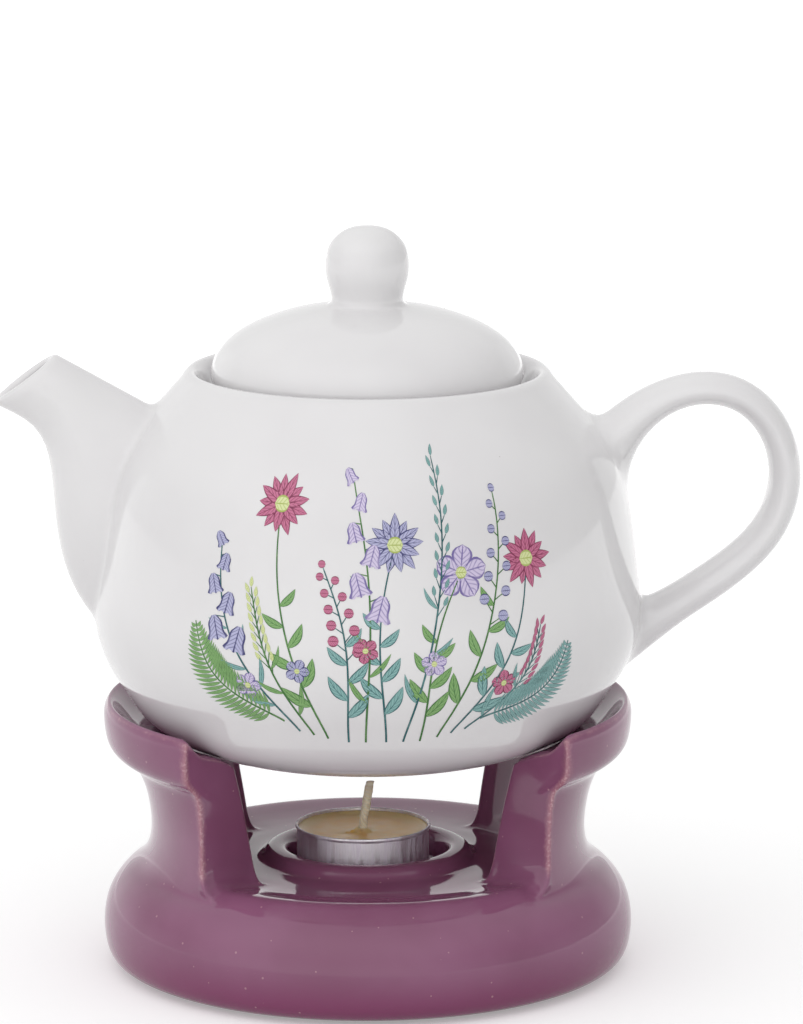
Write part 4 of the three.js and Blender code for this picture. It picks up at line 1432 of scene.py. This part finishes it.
# A head of twigs: how many, where they start on the stalk, their turn, length and its taper,
# and whether the last one turns aside too
SPIKES = {
    "bells": (6, 0.54, 1.25, 3.9, 0.45, True),
    "berries": (11, 0.50, 0.8, 4.6, 0.25, False),
    "grass": (17, 0.48, 0.45, 3.4, 0.1, False),
}

# Points in a stalk's line
STALK_POINTS = 30


def turned(x, z, turn, a, b):
    """The place a along and b across a direction from (x, z)."""
    c, s = math.cos(turn), math.sin(turn)
    return x + a * c - b * s, z + a * s + b * c


def leaf_shape(x, z, turn, long, wide, bend=0.0):
    def shape(u, w):
        swell = math.sin(math.pi * u**0.8) ** 0.85 if 0 < u < 1 else 0
        b = wide * (w - 0.5) * swell + bend * math.sin(math.pi * u)
        return turned(x, z, turn, long * u, b)

    return shape


def petal_shape(x, z, turn, long, wide):
    def shape(u, w):
        swell = math.sin(math.pi * u**1.5) ** 0.7 if 0 < u < 1 else 0
        a = long * u - 0.05 * long * u * (1 - abs(2 * w - 1))
        return turned(x, z, turn, a, wide * (w - 0.5) * swell)

    return shape


def stem_shape(line, wide):
    def shape(u, w):
        p, i = along_line(line, u)
        d = (Vector(line[i + 1]) - Vector(line[i])).normalized()
        off = (w - 0.5) * wide * (1 - 0.45 * u)
        return p.x - d.y * off, p.y + d.x * off

    return shape


def bell_shape(x, z, turn, long, wide):
    def shape(u, w):
        half = wide * (0.10 + 0.66 * smoothstep(-0.15, 0.35, u) + 0.34 * smoothstep(0.65, 1.0, u))
        a = long * (u + 0.05 * smoothstep(0.8, 1.0, u) * math.cos(6 * math.pi * (w - 0.5)))
        return turned(x, z, turn, a, half * (w - 0.5))

    return shape


def round_shape(x, z, radius):
    def shape(u, w):
        a = 2 * u - 1
        return x + radius * a, z + radius * (2 * w - 1) * math.sqrt(max(0.0, 1 - a * a))

    return shape


class Stalk:
    """A bowed stalk from its foot to its head."""

    def __init__(self, foot, head, bow):
        a, b = Vector(foot), Vector(head)
        d = b - a
        out = Vector((-d.y, d.x)).normalized()
        self.line = [
            tuple(a + d * t + out * bow * math.sin(math.pi * t**1.2) * 1.1)
            for t in np.linspace(0, 1, STALK_POINTS)
        ]

    def at(self, t):
        """The place at a share of the stalk, and its direction there."""
        p, i = along_line(self.line, t)
        d = Vector(self.line[i + 1]) - Vector(self.line[i])
        return p, math.atan2(d.y, d.x)


class Printer:
    """Lays flat motifs on the teapot's front, one after the other."""

    def __init__(self, sizes):
        self.outside = Outside(sizes)
        self.lift = sizes.print_lift / MM
        self.bm = bmesh.new()
        self.uv = self.bm.loops.layers.uv.new("UVMap")

    def lay(self, shape, ink, cells, up=1.0, solid=False):
        """Lays a motif whose shape gives (arc, height) for a place along and across it.
        A solid motif is ink all over."""
        verts = bmesh.ops.create_grid(
            self.bm, x_segments=cells[0], y_segments=cells[1], size=0.5
        )["verts"]
        maps = {v: (v.co.x + 0.5, v.co.y + 0.5) for v in verts}
        for f in {f for v in verts for f in v.link_faces}:
            f.material_index = ink
            for loop in f.loops:
                loop[self.uv].uv = (0.5, 1.0) if solid else maps[loop.vert]
        for v in verts:
            arc, z = shape(*maps[v])
            normal = self.outside.normal(arc, z, FRONT)
            v.co = self.outside.place(arc, z, FRONT) + normal * (self.lift * up)

    def leaf(self, x, z, turn, long, wide, ink, bend=0.0, up=1.0):
        self.lay(leaf_shape(x, z, turn, long, wide, bend), ink, (10, 4), up)

    def stem(self, line, wide, ink):
        self.lay(stem_shape(line, wide), ink, (2 * len(line), 1), solid=True)

    def heart(self, x, z, radius, cells):
        self.lay(round_shape(x, z, radius), LIME, (cells, cells), 1.8)

    def twig(self, x, z, turn, long, ink):
        """A short stem, and where it ends."""
        end = (x + long * math.cos(turn), z + long * math.sin(turn))
        self.stem([(x, z), end], 0.34, ink)
        return end

    def bloom(self, x, z, size, ink, turn):
        for k in range(5):
            petal = petal_shape(x, z, turn + k * TAU / 5, size, size * 0.82)
            self.lay(petal, ink, (8, 6))
        self.heart(x, z, size * 0.22, 6)

    def daisy(self, x, z, size, ink, turn):
        for k in range(13):
            long = size * (0.92 + 0.08 * math.sin(k * 2.4))
            up = 1.0 + 0.05 * (k % 2)
            self.leaf(x, z, turn + k * TAU / 13, long, size * 0.36, ink, 0.0, up)
        self.heart(x, z, size * 0.26, 8)

    def fern(self, stalk, ink):
        """Pairs of narrow leaves all the way up a stalk."""
        for k in range(26):
            t = 0.12 + 0.88 * k / 26
            p, along = stalk.at(t)
            size = 7.5 * math.sin(math.pi * (0.18 + 0.80 * t)) + 0.8
            for way in (-1, 1):
                self.leaf(p.x, p.y, along + way * 0.95, size, 1.05, ink, way * 0.4)

    def spike(self, stalk, kind, ink, leaves):
        """Bells, berries or grains on twigs that leave a stalk by turns."""
        count, low, aside, long, taper, last_too = SPIKES[kind]
        for k in range(count):
            p, along = stalk.at(low + (1 - low) * k / (count - 1))
            way = 1 if k % 2 else -1
            spread = aside if last_too or k < count - 1 else 0
            x, z = self.twig(p.x, p.y, along + way * spread, long - taper * k, leaves)
            if kind == "bells":
                size = 7.0 - 0.6 * k
                droop = FRONT + way * 0.25 + (0.3 if k == count - 1 else 0)
                self.lay(bell_shape(x, z, droop, size, size * 0.92), ink, (8, 10), 1.3)
            elif kind == "berries":
                self.lay(round_shape(x, z, 1.55 - 0.05 * k), ink, (8, 8), 1.3)
            else:
                self.leaf(x, z, along + way * 0.25, 2.9, 1.1, ink)

    def plant(self, number, foot, head, bow, kind, ink, leaves):
        """A whole stalk with its leaves and its head."""
        stalk = Stalk(foot, head, bow)
        self.stem(stalk.line, 0.62, leaves)
        if kind == "fern":
            self.fern(stalk, leaves)
            return
        count = LEAF_COUNTS.get(kind, 6)
        for k in range(count):
            p, along = stalk.at(0.16 + 0.52 * k / count)
            way = 1 if (k + number) % 2 else -1
            size = 9.5 - 3.6 * k / count
            wide = size * (0.17 if kind in ("grass", "bells") else 0.34)
            turn = along + way * (0.62 + 0.05 * k)
            self.leaf(p.x, p.y, turn, size, wide, leaves, way * 0.6)
        tip, along = stalk.at(1.0)
        if kind == "daisy":
            self.daisy(tip.x, tip.y, 8.4, ink, along + 0.2 * number)
        elif kind == "bloom":
            self.bloom(tip.x, tip.y, 7.4, ink, along + 0.2 * number)
        else:
            self.spike(stalk, kind, ink, leaves)


class BuildPrint(bpy.types.Operator):
    """Builds the fired print: a strip of meadow flowers on the front of the teapot"""

    bl_idname = "warmer.flower_print"
    bl_label = "Print"

    def execute(self, context):
        looks = context.scene.warmer_looks
        printer = Printer(context.scene.warmer_sizes)
        for number, row in enumerate(STALKS):
            printer.plant(number, *row)
        for number, (x, z, size, ink) in enumerate(BLOSSOMS):
            printer.bloom(x, z, size, ink, 0.4 * number)
        piece = finished(
            printer.bm,
            "flower_print",
            (AXIS_X, 0, POT_FOOT),
            [printed_ink(name, getattr(looks, name), wash, lines) for name, wash, lines in INKS],
            "teapot",
        )
        # the print mirrors the light as the glaze under it does
        normals = []
        for v in piece.data.vertices:
            x, y, z = (v.co.x - AXIS_X) / MM, v.co.y / MM, (v.co.z - POT_FOOT) / MM
            arc = (math.atan2(y, x) - FRONT) * ARC_RADIUS
            normals.append(printer.outside.normal(arc, z, FRONT))
        piece.data.normals_split_custom_set_from_vertices(normals)
        return {"FINISHED"}


# The stage

FLOOR_HALF = 9.0
FLOOR_DROP = 0.0001

# Directions of the key light, of the shade on the right, and of the soft lights at the sides
KEY_WAY = (-0.42, -0.80, 0.42)
SHADE_WAY = (0.93, 0.1, -0.35)
SIDE_WAYS = ((-0.62, 0.78, 0.12), (0.62, 0.78, 0.12))

# The camera: its place from the teapot's axis, its way down and to the side, and its lens
CAMERA_PLACE = (-0.0743, -1.5983, 0.445)
CAMERA_DOWN, CAMERA_ASIDE = 11.206, -3.0
CAMERA_LENS, CAMERA_SENSOR = 206.3, 36.0


def pale_floor(stage):
    """A plain floor that glows a little for the camera, and more so far away."""
    material, tree, shader, where = new_material("pale_floor")
    feed(
        tree,
        shader,
        {"Base Color": rgba(stage.floor), "Roughness": 0.7, "Specular IOR Level": 0.1},
    )
    seen = tree.nodes.new("ShaderNodeLightPath").outputs
    glow = maths(tree, "MAXIMUM", seen["Is Camera Ray"], seen["Is Glossy Ray"])
    glow = maths(tree, "MAXIMUM", glow, seen["Is Transmission Ray"])
    far = stage.floor_glow + 0.3
    reach = ramp(tree, vector_length(tree, where), 0.15, 1.2, stage.floor_glow, far)
    light = add(tree, "ShaderNodeEmission", {"Strength": times(tree, glow, reach)})
    both = add(tree, "ShaderNodeAddShader", {0: shader.outputs[0], 1: light.outputs[0]})
    output = next(n for n in tree.nodes if n.type == "OUTPUT_MATERIAL")
    feed(tree, output, {"Surface": both.outputs[0]})
    return material


def studio(stage):
    """A soft white room: brighter overhead, in front on the left and low behind the sides."""
    world = bpy.data.worlds.new("studio")
    world.use_nodes = True
    tree = world.node_tree
    tree.nodes.clear()
    toward = tree.nodes.new("ShaderNodeTexCoord").outputs["Generated"]
    height = add(tree, "ShaderNodeSeparateXYZ", {0: toward}).outputs["Z"]
    sky = ramp(tree, height, 0.1, 0.9, 0.0, stage.sky_light)
    sky = plus(tree, sky, ramp(tree, height, 0.38, 0.02, 0.0, stage.horizon_light))
    key = times(tree, ramp(tree, facing(tree, toward, KEY_WAY), 0.35, 1.0), stage.key_light)
    even = plus(tree, plus(tree, sky, key), stage.room_light)
    shade = ramp(tree, facing(tree, toward, SHADE_WAY), 0.1, 1.0, 0.0, stage.right_shade)
    even = maths(tree, "SUBTRACT", even, shade)
    for way in SIDE_WAYS:
        glow = ramp(tree, facing(tree, toward, way), 0.94, 0.992, 0.0, stage.side_light)
        even = plus(tree, even, glow)
    # glaze and foil mirror the white room, so it is brighter in them than it lights
    seen = tree.nodes.new("ShaderNodeLightPath").outputs
    mirrored = maths(tree, "MAXIMUM", seen["Is Glossy Ray"], seen["Is Transmission Ray"])
    even = plus(tree, even, times(tree, mirrored, 1.0 - stage.room_light))
    level = add(
        tree, "ShaderNodeMix", {0: seen["Is Camera Ray"], 2: even, 3: 1.0}, data_type="FLOAT"
    )
    back = add(tree, "ShaderNodeBackground", {"Strength": level.outputs[0]})
    add(tree, "ShaderNodeOutputWorld", {"Surface": back.outputs[0]})
    return world


def photo_camera():
    """The one camera, where the photo's outlines fit best."""
    camera = bpy.data.cameras.new("photo_view")
    camera.lens = CAMERA_LENS
    camera.sensor_width = CAMERA_SENSOR
    camera.clip_start, camera.clip_end = 0.05, 40.0
    view = bpy.data.objects.new("photo_view", camera)
    view.location = (AXIS_X + CAMERA_PLACE[0], *CAMERA_PLACE[1:])
    view.rotation_euler = (math.radians(90 - CAMERA_DOWN), 0, math.radians(CAMERA_ASIDE))
    return view


class BuildStage(bpy.types.Operator):
    """Builds the pale floor, the soft light and the camera"""

    bl_idname = "warmer.stage"
    bl_label = "Stage"

    def execute(self, context):
        scene = context.scene
        bm = bmesh.new()
        under = Matrix.Translation((0, 0, -FLOOR_DROP))
        bmesh.ops.create_grid(bm, x_segments=8, y_segments=8, size=FLOOR_HALF, matrix=under)
        mesh = bpy.data.meshes.new("floor")
        bm.to_mesh(mesh)
        bm.free()
        mesh.materials.append(pale_floor(scene.warmer_stage))
        floor = bpy.data.objects.new("floor", mesh)
        scene.collection.objects.link(floor)
        scene.world = studio(scene.warmer_stage)
        view = photo_camera()
        scene.collection.objects.link(view)
        scene.camera = view
        scene.view_settings.view_transform = "Standard"
        return {"FINISHED"}


class WarmerPanel(bpy.types.Panel):
    """Sizes, looks and build buttons of the set"""

    bl_label = "Teapot Warmer"
    bl_idname = "VIEW3D_PT_teapot_warmer"
    bl_space_type = "VIEW_3D"
    bl_region_type = "UI"
    bl_category = "Warmer"

    def draw(self, context):
        scene = context.scene
        for title, settings in (
            ("Sizes", scene.warmer_sizes),
            ("Looks", scene.warmer_looks),
            ("Stage", scene.warmer_stage),
        ):
            box = self.layout.box()
            box.label(text=title)
            for key in settings.bl_rna.properties.keys():
                if key not in ("rna_type", "name"):
                    box.prop(settings, key)
        for operator in OPERATORS:
            self.layout.operator(operator.bl_idname)


GROUPS = (WarmerSizes, WarmerLooks, WarmerStage)
OPERATORS = (BuildStage, BuildStand, BuildCandle, BuildTeapot, BuildPrint, BuildLid)


def register():
    for item in GROUPS + OPERATORS + (WarmerPanel,):
        bpy.utils.register_class(item)
    bpy.types.Scene.warmer_sizes = PointerProperty(type=WarmerSizes)
    bpy.types.Scene.warmer_looks = PointerProperty(type=WarmerLooks)
    bpy.types.Scene.warmer_stage = PointerProperty(type=WarmerStage)


def unregister():
    del bpy.types.Scene.warmer_stage
    del bpy.types.Scene.warmer_looks
    del bpy.types.Scene.warmer_sizes
    for item in reversed(GROUPS + OPERATORS + (WarmerPanel,)):
        bpy.utils.unregister_class(item)


def main():
    register()
    bpy.ops.warmer.stage()
    bpy.ops.warmer.stand()
    bpy.ops.warmer.candle()
    bpy.ops.warmer.teapot()
    bpy.ops.warmer.flower_print()
    bpy.ops.warmer.lid()


if __name__ == "__main__":
    main()
